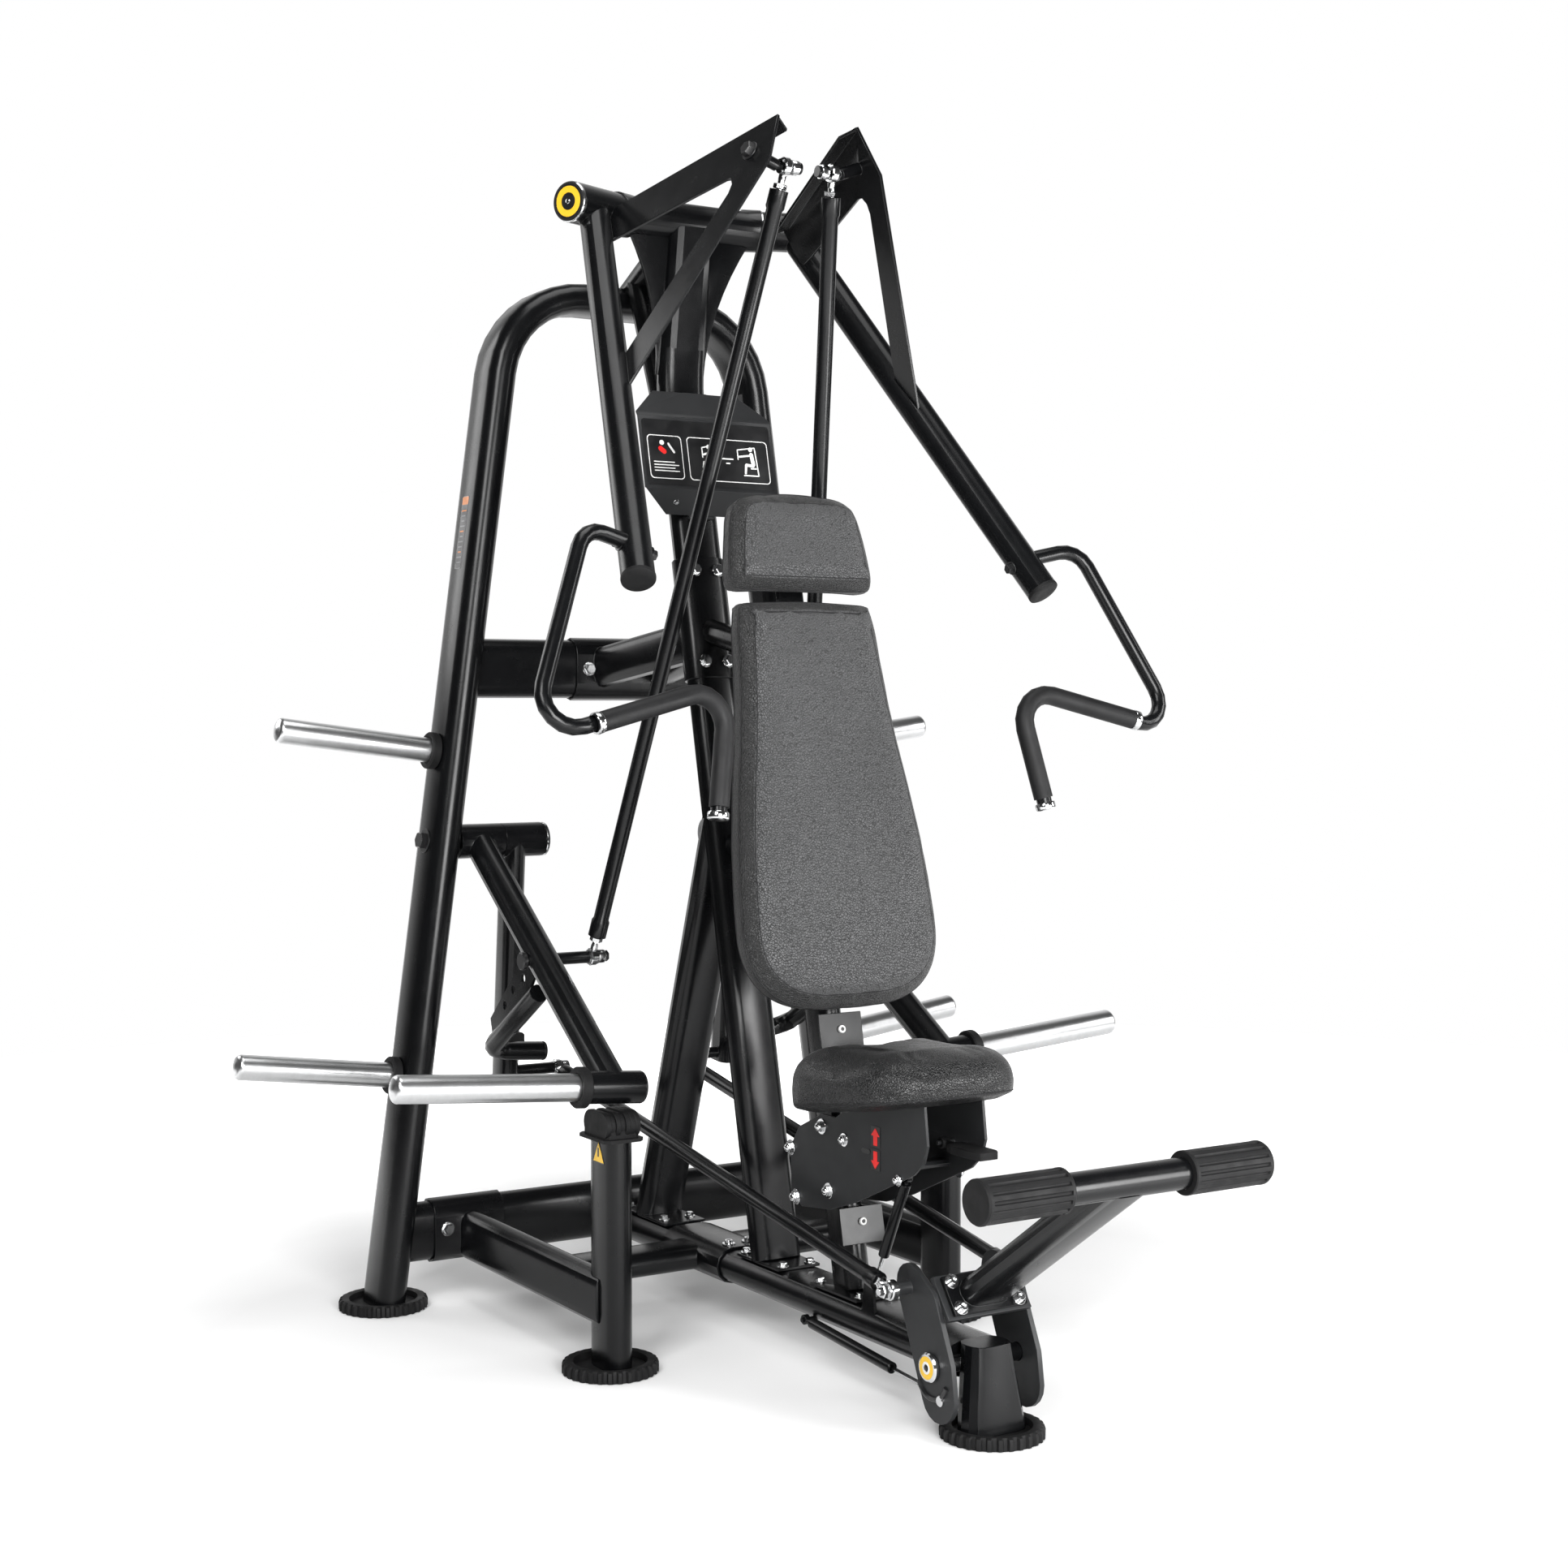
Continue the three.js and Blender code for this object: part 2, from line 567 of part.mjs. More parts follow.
function backrestOutline() {
  const rise = (z) => (z - PAD_MID.z) / PAD_LEAN.z;
  const right = BACKREST_HALF.map(([z, half]) => new THREE.Vector2(half, rise(z)));
  const [lowZ, lowHalf] = BACKREST_HALF[BACKREST_HALF.length - 1];
  for (let i = 1; i <= 8; i++) {
    const a = (i / 8) * (Math.PI / 2);
    const x = lowHalf * Math.cos(a) ** 0.55;
    right.push(new THREE.Vector2(i === 8 ? 0 : x, rise(lowZ - (lowZ - BACKREST_BOTTOM) * Math.sin(a))));
  }
  const left = right.slice(0, -1).reverse().map((p) => new THREE.Vector2(-p.x, p.y));
  return [...right, ...left].reverse();
}

add('backrest', 'vinyl', plate(backrestOutline(), PAD_THICK, PAD_MID, X, PAD_LEAN));

function headrestOutline() {
  const top = 180;
  const half = [[0, 152], [30, 155], [140, 138], [166, 122], [top, 90]];
  const right = half.map(([rise, x]) => new THREE.Vector2(x, rise));
  const left = right.slice().reverse().map((p) => new THREE.Vector2(-p.x, p.y));
  return [...right, ...left];
}

add('headrest', 'vinyl', plate(headrestOutline(), PAD_THICK, padPlace(1412), X, PAD_LEAN));

// Steel behind the pads: a spine strap, the arm from the mast sleeve and a lower stand-off.
function backrestFrame() {
  const back = -PAD_THICK / 2 - 4.4;
  const spine = sweep(oval(60, 8, 2), [padPlace(760, back), padPlace(1560, back)], { side: X });
  const upper = sweep(oval(50, 50), [v(0, uprightY(1351), 1351), padPlace(1290, back)], { side: X });
  const lower = sweep(oval(50, 50), [v(0, uprightY(931), 931), padPlace(905, back)], { side: X });
  const run = [v(0, uprightY(1200), 1200), v(0, uprightY(1540), 1540)];
  const clear = sweep(oval(110 + 2 * GAP, 60 + 2 * GAP), run, { side: X });
  const padSpace = plate(rectangle(300, 500), 100, padPlace(1100, 50 - PAD_THICK / 2 - GAP), X, PAD_LEAN);
  return largest(cut(join(spine, upper, lower), clear, uprightTube(GAP, 1600), padSpace));
}

add('backrest_frame', 'powder', backrestFrame());

// ---- Instruction placard: a folded sheet in front of the mast -------------------------------
function placard() {
  const half = 150;
  const sheet = 3;
  const face = plate(rectangle(half, 73), sheet, v(0, 413, 1693), X, LEAN);
  const roofUp = v(0, 41, 55).normalize();
  const roof = flat([-half, -1], [half, -1], [half, 10], [95, 68], [-95, 68], [-half, 10]);
  const top = plate(roof, sheet, v(0, 429, 1764), X, roofUp);
  const sillDown = v(0, 42, -46).normalize();
  const sill = flat([-half, -1], [half, -1], [82, 62], [-82, 62]);
  const low = plate(sill.reverse(), sheet, v(0, 397, 1622), X, sillDown);
  const bracket = sweep(oval(60, 8, 2), [v(0, 439, 1574), v(0, 472, 1570)], { side: X });
  const stay = sweep(oval(60, 8, 2), [v(0, 468, 1816), v(0, 520, 1816)], { side: X });
  return largest(cut(join(face, top, low, bracket, stay), mastTube(GAP)));
}

add('placard', 'plate', placard());

// ---- Bumpers on the posts -----------------------------------------------------------------
bothSides((side, name) => {
  const base = plate(rectangle(40, 58), 6, v(side * POST.x, POST.y, POST.top + GAP + 3), X, Y);
  const rollerAxis = { y: POST.y - 4, z: POST.top + 28 };
  const ends = [POST.x - 34, POST.x + 34].map((x) => v(side * x, rollerAxis.y, rollerAxis.z));
  const block = sweep(oval(96, 50, 6), ends, { side: Y });
  const low = plate(rectangle(34, 48), 26, v(side * POST.x, rollerAxis.y, POST.top + 18), X, Y);
  add(`${name}_bumper`, 'rubber', join(base, block, low));
});

// ---- Press arms ---------------------------------------------------------------------------

function pressHub(side, grow = 0) {
  return rod(hubPoint(side, HUB.start), hubPoint(side, HUB.end), HUB.radius + grow, 20);
}

function armTube(side, grow = 0) {
  const end = v(side * ARM_END.x, ARM_END.y, ARM_END.z);
  return rod(hubPoint(side, HUB.arm), end, ARM_RADIUS + grow);
}

function bracketPlate(side) {
  const origin = v(side * BRACKET.x, BRACKET.y, BRACKET.z);
  const fore = v(-side * 0.243, -0.94, 0.229).normalize();
  const face = v(side * 0.906, -0.136, 0.4).normalize();
  const down = v(side * 0.345, -0.305, -0.885).normalize();
  const outline = flat([-452, 0], [0, 0], [-4, 99], [-300, 478], [-340, 430], [-322, 393], [-103, 130],
    [-97, 112], [-103, 97], [-118, 92], [-400, 84], [-452, 80]);
  const sheet = plate(outline, BRACKET.thick, origin, fore, down);
  const inward = face.clone().multiplyScalar(-1);
  const strip = flat([-430, 0], [-2, 0], [-14, BRACKET.flange], [-430, BRACKET.flange]);
  const lip = plate(strip, BRACKET.thick, origin.clone().addScaledVector(down, 2.5), fore, inward);
  const seat = origin.clone().addScaledVector(fore, -60).addScaledVector(down, 55);
  const stud = rod(seat, v(side * (ROD_TOP.x + 17), ROD_TOP.y, ROD_TOP.z), NUT.radius);
  const pin = sideRod(side, ROD_TOP, ROD_TOP.x + 30, ROD_TOP.x - 24, PRESS_PIN);
  const nut = sideRod(side, ROD_TOP, ROD_TOP.x - NUT.start, ROD_TOP.x - NUT.end, NUT.radius);
  return join(sheet, lip, stud, pin, nut);
}

const HANDLE_BENDS = [[525, -82, 1500], [685, -200, 1143]];
const GRIP_START = [564, -206, 1174];
const GRIP_BEND = [303, -177, 1239];
const GRIP_END = [345, -216, 1019];
const HANDLE_ARM = [415, -53, 1475];

function handleCorners(side) {
  return [HANDLE_ARM, ...HANDLE_BENDS, GRIP_BEND, GRIP_END].map(([x, y, z]) => v(side * x, y, z));
}

function handle(side, grow = 0) {
  const options = { bend: 52, side: v(0, 1, 0.2), turnStep: 0.36 };
  return sweep(circle(14 + grow, 12), handleCorners(side), options);
}

function grip(side) {
  const [start, corner, end] = [GRIP_START, GRIP_BEND, GRIP_END].map(([x, y, z]) => v(side * x, y, z));
  end.add(end.clone().sub(corner).normalize().multiplyScalar(-14));
  const options = { bend: 52, side: v(0, 1, 0.2), turnStep: 0.36 };
  return cut(sweep(circle(17.5, 12), [start, corner, end], options), handle(side, GAP));
}

bothSides((side, name) => {
  const bore = rod(hubPoint(side, -30), hubPoint(side, HUB.end + 30), HUB.bore);
  const welded = join(pressHub(side), armTube(side), bracketPlate(side));
  add(`${name}_press_arm`, 'powder', cut(welded, bore));
  add(`${name}_handle`, 'powder', cut(handle(side), armTube(side, GAP)));
  add(`${name}_grip`, 'rubber', grip(side));
});

// ---- Tie rods between press arms and weight arms --------------------------------------------
function rodEye(centre, toward) {
  return join(crossRod(centre, EYE.half, EYE.radius), rod(centre, toward, 6.3, 8));
}

// A bar with a ring at each end; a ring's hole is wide where it is only a loose closure.
function linkBar(from, to, { radius, shank, boreA, boreB }) {
  const along = to.clone().sub(from).normalize();
  const a = from.clone().addScaledVector(along, shank);
  const b = to.clone().addScaledVector(along, -shank);
  const inA = a.clone().addScaledVector(along, 6);
  const inB = b.clone().addScaledVector(along, -6);
  const bar = join(rod(a, b, radius, 14), rodEye(from, inA), rodEye(to, inB));
  return cut(bar, crossRod(from, 20, boreA), crossRod(to, 20, boreB));
}

bothSides((side, name) => {
  const top = v(side * ROD_TOP.x, ROD_TOP.y, ROD_TOP.z);
  const low = v(side * ROD_LOW.x, ROD_LOW.y, ROD_LOW.z);
  const ends = { radius: 15, shank: 42, boreA: 12, boreB: PIN_HOLE };
  add(`${name}_tie_rod`, 'powder', linkBar(top, low, ends));
});

// ---- Weight arms ----------------------------------------------------------------------------

function frontHornPoint(side, x) {
  return v(side * x, FRONT_HORN.y, FRONT_HORN.z + FRONT_HORN.rise * (x - FRONT_HORN.inner));
}

// The bent tube that stops the arm against the assist lever.
const STOP_TUBE = [[360, 440, 652], [352, 690, 508], [231, 690, 499]];

function weightArm(side) {
  const hub = sideRod(side, REAR_AXIS, REAR_HUB.split + 2 * GAP, REAR_HUB.outer, REAR_HUB.radius, 18);
  const strut = rod(onRearAxis(side, 340), frontHornPoint(side, 365), 30);
  const hornHub = rod(frontHornPoint(side, FRONT_HORN.inner), frontHornPoint(side, FRONT_HORN.outer), 30);
  const stubCorners = STOP_TUBE.map(([x, y, z]) => v(side * x, y, z));
  const stub = sweep(circle(19, 10), stubCorners, { bend: 46, side: Z, turnStep: 0.36 });
  const stud = sideRod(side, ROD_LOW, 345, ROD_LOW.x + 9, STUD, 12);
  const pin = sideRod(side, ROD_LOW, 300, ROD_LOW.x - 24, PIN, 12);
  const nut = sideRod(side, ROD_LOW, ROD_LOW.x - NUT.start, ROD_LOW.x - NUT.end, NUT.radius, 6);
  const web = flat([455, 700], [540, 694], [672, 576], [660, 530], [560, 560]);
  const holes = [[520, 672], [566, 645], [604, 610]].map(([y, z]) => moveOutline(circle(9, 10), y, z));
  const gusset = plate(web.reverse(), 6, v(side * 352, 0, 0), Y, Z, holes);
  const bore = sideRod(side, REAR_AXIS, REAR_HUB.split - 20, REAR_HUB.outer + 20, REAR_HUB.bore);
  return cut(join(hub, strut, hornHub, stub, stud, pin, nut, gusset), bore);
}

bothSides((side, name) => {
  add(`${name}_weight_arm`, 'powder', weightArm(side));
  const start = frontHornPoint(side, FRONT_HORN.outer + GAP);
  const along = frontHornPoint(side, 800).sub(frontHornPoint(side, 400)).normalize();
  add(`${name}_front_horn`, 'chrome', horn(start, along, FRONT_HORN.tip - FRONT_HORN.outer));
});

// ---- Foot start-assist: levers on the rear hubs, long links and the pedal -------------------

function assistLever(side) {
  const hub = sideRod(side, REAR_AXIS, REAR_HUB.inner, REAR_HUB.split - GAP, REAR_HUB.radius, 18);
  const low = v(side * LEVER.x, LEVER.lowY, LEVER.lowZ);
  const arm = sweep(oval(LEVER.wide, LEVER.thin), [onRearAxis(side, LEVER.x), low], { side: Y });
  const stud = sideRod(side, LINK_REAR, LEVER.x, LINK_REAR.x + 9, STUD, 12);
  const pin = sideRod(side, LINK_REAR, LEVER.x, LINK_REAR.x - 24, PIN, 12);
  const pad = plate(rectangle(16, 24), 12, v(side * LEVER.x, 763, 505), X, Z);
  const bore = sideRod(side, REAR_AXIS, REAR_HUB.inner - 20, REAR_HUB.split + 20, REAR_HUB.bore);
  return cut(join(hub, arm, stud, pin, pad), bore);
}

bothSides((side, name) => {
  add(`${name}_assist_lever`, 'powder', assistLever(side));
  const rear = v(side * LINK_REAR.x, LINK_REAR.y, LINK_REAR.z);
  const front = v(side * LINK_FRONT.x, LINK_FRONT.y, LINK_FRONT.z);
  const ends = { radius: 14, shank: 36, boreA: PIN_HOLE, boreB: 10 };
  add(`${name}_pedal_link`, 'powder', linkBar(rear, front, ends));
});

const SLOPE = v(0, 27, 37).normalize();         // up the slope of the pedal's cross plate
const SLOPE_OUT = v(0, -37, 27).normalize();    // out of its front face

function pedalBracket() {
  const upper = [{ x: -410, y: 240, r: 36 }, { x: -462, y: 222, r: 24 }];
  const lower = [{ x: -482, y: 114, r: 50 }, { x: -492, y: 74, r: 46 }];
  const outline = wrap([...upper, ...lower]);
  const sides = [-1, 1].map((side) => {
    const board = plate(outline, PEDAL_PLATE.thick, v(side * PEDAL_PLATE.x, 0, 0), Y, Z);
    const stud = sideRod(side, LINK_FRONT, PEDAL_PLATE.x - 2, LINK_FRONT.x - 9, STUD, 14);
    const pin = sideRod(side, LINK_FRONT, PEDAL_PLATE.x - 2, LINK_FRONT.x + 26, PIN, 12);
    const bore = sideRod(side, PEDAL_AXIS, 70, 110, PEDAL_AXIS.bore);
    return cut(join(board, stud, pin), bore);
  });
  const { half, tall } = CROSS_PLATE;
  const centre = v(0, CROSS_PLATE.y, CROSS_PLATE.z);
  const across = plate(rectangle(half, tall / 2), CROSS_PLATE.thick, centre, X, SLOPE);
  const damperPin = sideRod(-1, DAMPER_PIN, PEDAL_PLATE.x, 56, DAMPER_PIN.radius, 12);
  return join(...sides, across, damperPin);
}

add('pedal_bracket', 'plate', pedalBracket());

function pedalArm() {
  const lift = CROSS_PLATE.thick / 2 + GAP;
  const base = v(0, CROSS_PLATE.y, CROSS_PLATE.z).addScaledVector(SLOPE_OUT, lift + 4);
  const foot = plate(rectangle(74, 34), 8, base, X, SLOPE);
  const strut = sweep(oval(POST_TUBE.wide, POST_TUBE.thin), [base, v(0, BAR.y, BAR.z)], { side: X });
  const behind = plate(rectangle(120, 120), 100, base.clone().addScaledVector(SLOPE_OUT, -54), X, SLOPE);
  const bar = sideRod(1, BAR, -BAR.half, BAR.half, BAR.radius, 20);
  return join(foot, cut(strut, behind), bar);
}

add('pedal_arm', 'powder', pedalArm());

bothSides((side, name) => {
  const shell = sideRod(side, BAR, ROLLER.inner, ROLLER.outer, ROLLER.radius, 24);
  const bore = sideRod(side, BAR, ROLLER.inner - 5, BAR.half + GAP, BAR.radius + GAP, 20);
  add(`${name}_foot_roller`, 'rubber', cut(shell, bore));
});

// Damper under the main beam: its rod follows the pedal's lower lobe.

function damperPoint(t) {
  return v(DAMPER.x, DAMPER.rearY, DAMPER.rearZ).lerp(v(DAMPER.x, DAMPER_PIN.y, DAMPER_PIN.z), t);
}

function damperCylinder() {
  const body = rod(damperPoint(0.05), damperPoint(DAMPER.split), 10, 20);
  const bore = rod(damperPoint(0.3), damperPoint(DAMPER.split + 0.1), 5.5, 12);
  const eye = crossRod(damperPoint(0), SMALL_EYE.half, SMALL_EYE.radius);
  const hole = crossRod(damperPoint(0), 20, SMALL_EYE.hole, 12);
  return cut(join(body, eye, rod(damperPoint(0), damperPoint(0.1), 4, 12)), bore, hole);
}

add('main_base_beam', 'powder', baseBeam());
add('damper_cylinder', 'powder', damperCylinder());

function damperRod() {
  const bar = rod(damperPoint(0.42), damperPoint(1), 4, 12);
  const eye = crossRod(damperPoint(1), 4, 10);
  const hole = crossRod(damperPoint(1), 20, 6.5, 12);
  return cut(join(bar, eye), hole);
}

add('damper_rod', 'chrome', damperRod());

// The main beam carries the damper's rear pin and the lug under the seat's gas spring.
function baseBeam() {
  const tube = cut(mainBeam(), rearBeam(REAR_BEAM_Z, GAP));
  const damperEnd = { y: DAMPER.rearY, z: DAMPER.rearZ };
  const damperPin = sideRod(1, damperEnd, -35, DAMPER.x - 9, SMALL_EYE.pin, 10);
  const lugX = GAS.x - 11;
  const lugOutline = wrap([{ x: GAS.lowY, y: GAS.lowZ, r: 14 }, { x: GAS.lowY, y: 140, r: 20 }]);
  const lug = plate(lugOutline, 6, v(lugX, 0, 0), Y, Z);
  const gasPin = sideRod(1, { y: GAS.lowY, z: GAS.lowZ }, lugX, GAS.x + 9, SMALL_EYE.pin, 10);
  return join(tube, damperPin, lug, gasPin);
}

// ---- Seat -----------------------------------------------------------------------------------
const POST_RISE = v(0, SEAT_POST.lean, 1).normalize();
const POST_FORE = v(0, -1, SEAT_POST.lean).normalize();

function onPost(z, fore = 0) {
  return v(0, seatPostY(z), z).addScaledVector(POST_FORE, fore);
}

function stopBlock(z, tall) {
  const reach = flat([20, -tall / 2], [STOP_REACH, -tall / 2], [STOP_REACH, tall / 2], [20, tall / 2]);
  const cheekAt = (side) => onPost(z).add(v(side * 20, 0, 0));
  const cheek = [-1, 1].map((side) => plate(reach, 4, cheekAt(side), POST_FORE, POST_RISE));
  const face = plate(rectangle(46, tall / 2), 4, onPost(z, STOP_REACH), X, POST_RISE);
  return join(face, ...cheek);
}

function seatPost() {
  const section = oval(SEAT_POST.wide, SEAT_POST.thin);
  const top = BEAM_TOP + 3 + SEAT_POST.length;
  const tube = sweep(section, [onPost(BEAM_TOP + 3), onPost(top)], { side: Y });
  return join(cut(tube, floorCut), footPlate(SEAT_POST.y - 6, 150), stopBlock(600, 72), stopBlock(264, 66));
}

add('seat_post', 'powder', seatPost());

function seatCarriage() {
  const rim = [[-97, 475], [-139, 474], [-186, 500], [-224, 505], [-410, 536], [-419, 469], [-408, 438]];
  const underside = [[-380, 414], [-204, 335], [-124, 308], [-30, 296], [6, 318], [8, 400], [-20, 440]];
  const outline = flat(...rim, ...underside);
  const sides = [-1, 1].map((side) => plate(outline, CARRIAGE.thick, v(side * CARRIAGE.x, 0, 0), Y, Z));
  const wheels = ROLLERS.map(([z, fore]) => {
    const place = onPost(z, fore);
    return join(crossRod(place, 26, CARRIAGE.wheel, 12), crossRod(place, CARRIAGE.x, CARRIAGE.axle, 8));
  });
  const front = sweep(oval(40, 12, 2), [v(-CARRIAGE.x, -300, 412), v(CARRIAGE.x, -300, 412)], { side: Y });
  const gasPin = sideRod(1, { y: GAS.topY, z: GAS.topZ }, -CARRIAGE.x, GAS.x + 9, SMALL_EYE.pin, 10);
  const releasePin = sideRod(1, RELEASE, CARRIAGE.x, RELEASE.x - 14, SMALL_EYE.pin, 10);
  return join(...sides, ...wheels, front, gasPin, releasePin);
}

add('seat_carriage', 'plate', seatCarriage());

// Seat pad, plain solid: a wedge that is thin at the nose. The tail's top is sloped away so that
// the seat can rise in front of the backrest.
function seatPad() {
  const { half, rear, front, low, slope, top, nose, tail } = SEAT;
  const depth = rear - front;
  const profile = flat([rear, low], [rear, low + tail], [rear - tail, top], [front + 20, nose],
    [front, nose - 20], [front, low + slope * depth]);
  const side = plate(profile, 2 * half + 20, v(0, 0, 0), Y, Z);
  const right = [[half - 26, 0], [half, 30], [half, depth - 90], [half - 34, depth - 26], [half - 80, depth]];
  const left = right.map(([x, y]) => [-x, y]).reverse();
  const plan = flat(...right, ...left).map((p) => new THREE.Vector2(p.x, rear - p.y));
  return side.intersect(plate(plan, 400, v(0, 0, (low + top) / 2), X, Y));
}

add('seat_pad', 'leather', seatPad());

// Release lever under the seat, and the seat's gas spring.
function releaseLever() {
  const pivot = v(RELEASE.x, RELEASE.y, RELEASE.z);
  const boss = crossRod(pivot, 8, 10);
  const hole = crossRod(pivot, 20, SMALL_EYE.hole, 10);
  const arm = sweep(oval(12, 7, 3), [pivot, v(RELEASE.x, RELEASE.tipY + 80, RELEASE.z)], { side: Z });
  const handleY = (back) => RELEASE.tipY + back;
  const right = [[46, handleY(0)], [51, handleY(10)], [51, handleY(78)], [45, handleY(98)]];
  const left = right.map(([x, y]) => [56 - x, y]).reverse();
  const paddle = plate(flat(...right, ...left), RELEASE.thick, v(0, 0, RELEASE.z), X, Y);
  return cut(join(boss, arm, paddle), hole);
}

add('release_lever', 'rubber', releaseLever());

function gasPoint(t) {
  return v(GAS.x, GAS.topY, GAS.topZ).lerp(v(GAS.x, GAS.lowY, GAS.lowZ), t);
}

function gasCylinder() {
  const body = rod(gasPoint(0.06), gasPoint(0.72), GAS.tube, 18);
  const eye = crossRod(gasPoint(0), SMALL_EYE.half, SMALL_EYE.radius);
  const hole = crossRod(gasPoint(0), 20, SMALL_EYE.hole, 10);
  const bore = rod(gasPoint(0.14), gasPoint(0.8), GAS.bore, 14);
  return cut(join(body, eye, rod(gasPoint(0), gasPoint(0.1), 4, 8)), bore, hole);
}

add('gas_spring_cylinder', 'powder', gasCylinder());

function gasRod() {
  const bar = rod(gasPoint(0.2), gasPoint(1), GAS.rod, 10);
  const eye = crossRod(gasPoint(1), SMALL_EYE.half, SMALL_EYE.radius);
  const hole = crossRod(gasPoint(1), 20, SMALL_EYE.hole, 10);
  return cut(join(bar, eye), hole);
}

add('gas_spring_rod', 'chrome', gasRod());

// Put the origin under the middle of the footprint.
const footprint = new THREE.Box3().setFromObject(machine);
const middle = footprint.getCenter(new THREE.Vector3());
machine.children.forEach((mesh) => mesh.geometry.translate(0, -middle.y, 0));

export default machine;
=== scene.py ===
import json
import math

import bmesh
import bpy
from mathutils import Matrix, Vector
from mathutils.bvhtree import BVHTree


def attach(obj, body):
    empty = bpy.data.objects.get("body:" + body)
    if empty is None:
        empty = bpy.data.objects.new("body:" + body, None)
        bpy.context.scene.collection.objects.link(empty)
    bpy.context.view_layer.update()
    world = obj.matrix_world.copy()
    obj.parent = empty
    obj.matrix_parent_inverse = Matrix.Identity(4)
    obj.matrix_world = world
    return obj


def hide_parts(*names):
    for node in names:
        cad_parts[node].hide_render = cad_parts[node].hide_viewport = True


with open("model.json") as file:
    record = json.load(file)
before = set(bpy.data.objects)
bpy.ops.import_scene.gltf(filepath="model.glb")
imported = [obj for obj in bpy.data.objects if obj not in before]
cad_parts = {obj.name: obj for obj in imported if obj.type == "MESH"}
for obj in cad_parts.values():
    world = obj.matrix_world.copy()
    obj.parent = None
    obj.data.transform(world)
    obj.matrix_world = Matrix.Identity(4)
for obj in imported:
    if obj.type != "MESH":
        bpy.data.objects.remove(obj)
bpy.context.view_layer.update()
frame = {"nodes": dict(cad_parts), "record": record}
BODY_OF = {node: body for body, nodes in frame["record"]["behaviour"]["bodies"].items() for node in nodes}
SLOT_OF = {part["node"]: part["material_slot"] for part in frame["record"]["subparts"]}

# ---- Places ----
# Sizes here are millimetres about the middle of the T-bar's plane; at() turns them into frame metres.
SHIFT_Y = 12.5
SIDES = ((-1, "left"), (1, "right"))
RIGHT, REAR, UP = Vector((1, 0, 0)), Vector((0, 1, 0)), Vector((0, 0, 1))
FRONT = -REAR


def at(x, y, z):
    return Vector((x, y + SHIFT_Y, z)) / 1000.0


def on_side(side, point):
    """A point given for the right side, on the right (1) or on the left (-1)."""
    return at(side * point[0], point[1], point[2])


def leg_x(z):
    """Distance of the arch leg's middle line from the machine's middle."""
    return 550.0 - 0.135 * z


def leg_out(side):
    """The way out of the arch leg's outer face."""
    return Vector((side * 0.991, 0, 0.134)).normalized()


LEG_HALF = 0.0303                                     # metres from the leg's middle line to its outer face
ARCH_Y = 762.0
PIVOT_Z = 926.0
BEAM_TOP = 156.0
POST_X = 365
ARM_START, HUB_TIP = 84, 153                          # distances along the press hub
ARM_END = (431, -97, 1416)
GRIP_START, GRIP_BEND, GRIP_TIP = (564, -206, 1174), (303, -177, 1239), (345, -216, 1019)
ROD_TOP, ROD_LOW = (51, 47, 2177), (240, 452, 714)
LINK_REAR, LINK_FRONT = (145, 801, 443), (128, -410, 236)
HORN_ROOT, HORN_COLLAR_X, HORN_RISE = (311, 126, 513), 420.3, 0.0793
POST_LEAN, MAST_LEAN = 0.205, 0.222
POST_OUT = Vector((0, -1, POST_LEAN)).normalized()
MAST_OUT, MAST_UP = Vector((0, -1, MAST_LEAN)).normalized(), Vector((0, MAST_LEAN, 1)).normalized()
HUB_DIR = Vector((math.cos(math.radians(24)) * math.cos(math.radians(1)), -math.sin(math.radians(24)),
                  -math.sin(math.radians(1)))).normalized()


def mirrored(vector, side):
    return Vector((side * vector.x, vector.y, vector.z))


PAD_UP = Vector((0, 0.212, 1)).normalized()
PAD_OUT = Vector((0, -1, 0.212)).normalized()
PAD_MID = at(0, 57, 1341)


def seat_post_y(z):
    return -101 + POST_LEAN * (z - BEAM_TOP)


def hub_point(side, s):
    """A point on the press hub's axis, s millimetres from the T-bar."""
    return at(side * 149, 498, 2161) + mirrored(HUB_DIR, side) * s / 1000.0


# ---- Node materials ----
def new_material(name, **socket_values):
    material = bpy.data.materials.new(name)
    material.use_nodes = True
    shader = material.node_tree.nodes["Principled BSDF"]
    for key, value in socket_values.items():
        shader.inputs[key.replace("_", " ")].default_value = value
    return material, material.node_tree, shader


def node(tree, kind, **props):
    made = tree.nodes.new(kind)
    for key, value in props.items():
        setattr(made, key, value)
    return made


def object_coords(tree, scale=(1, 1, 1)):
    coords = node(tree, "ShaderNodeTexCoord")
    mapping = node(tree, "ShaderNodeMapping")
    mapping.inputs["Scale"].default_value = scale
    tree.links.new(coords.outputs["Object"], mapping.inputs["Vector"])
    return mapping.outputs["Vector"]


def noise(tree, coords, scale, detail=4.0, rough=0.5):
    made = node(tree, "ShaderNodeTexNoise")
    made.inputs["Scale"].default_value = scale
    made.inputs["Detail"].default_value = detail
    made.inputs["Roughness"].default_value = rough
    tree.links.new(coords, made.inputs["Vector"])
    return made.outputs["Fac"]


def ramp(tree, value, stops):
    made = node(tree, "ShaderNodeValToRGB")
    elements = made.color_ramp.elements
    while len(elements) < len(stops):
        elements.new(0.5)
    for element, (place, grey) in zip(elements, stops):
        element.position = place
        colour = grey if isinstance(grey, tuple) else (grey, grey, grey)
        element.color = (*colour, 1.0)
    tree.links.new(value, made.inputs["Fac"])
    return made.outputs["Color"]


MIX_FACTOR, MIX_A, MIX_B, MIX_RESULT = 0, 6, 7, 2      # the Mix node's sockets for colours


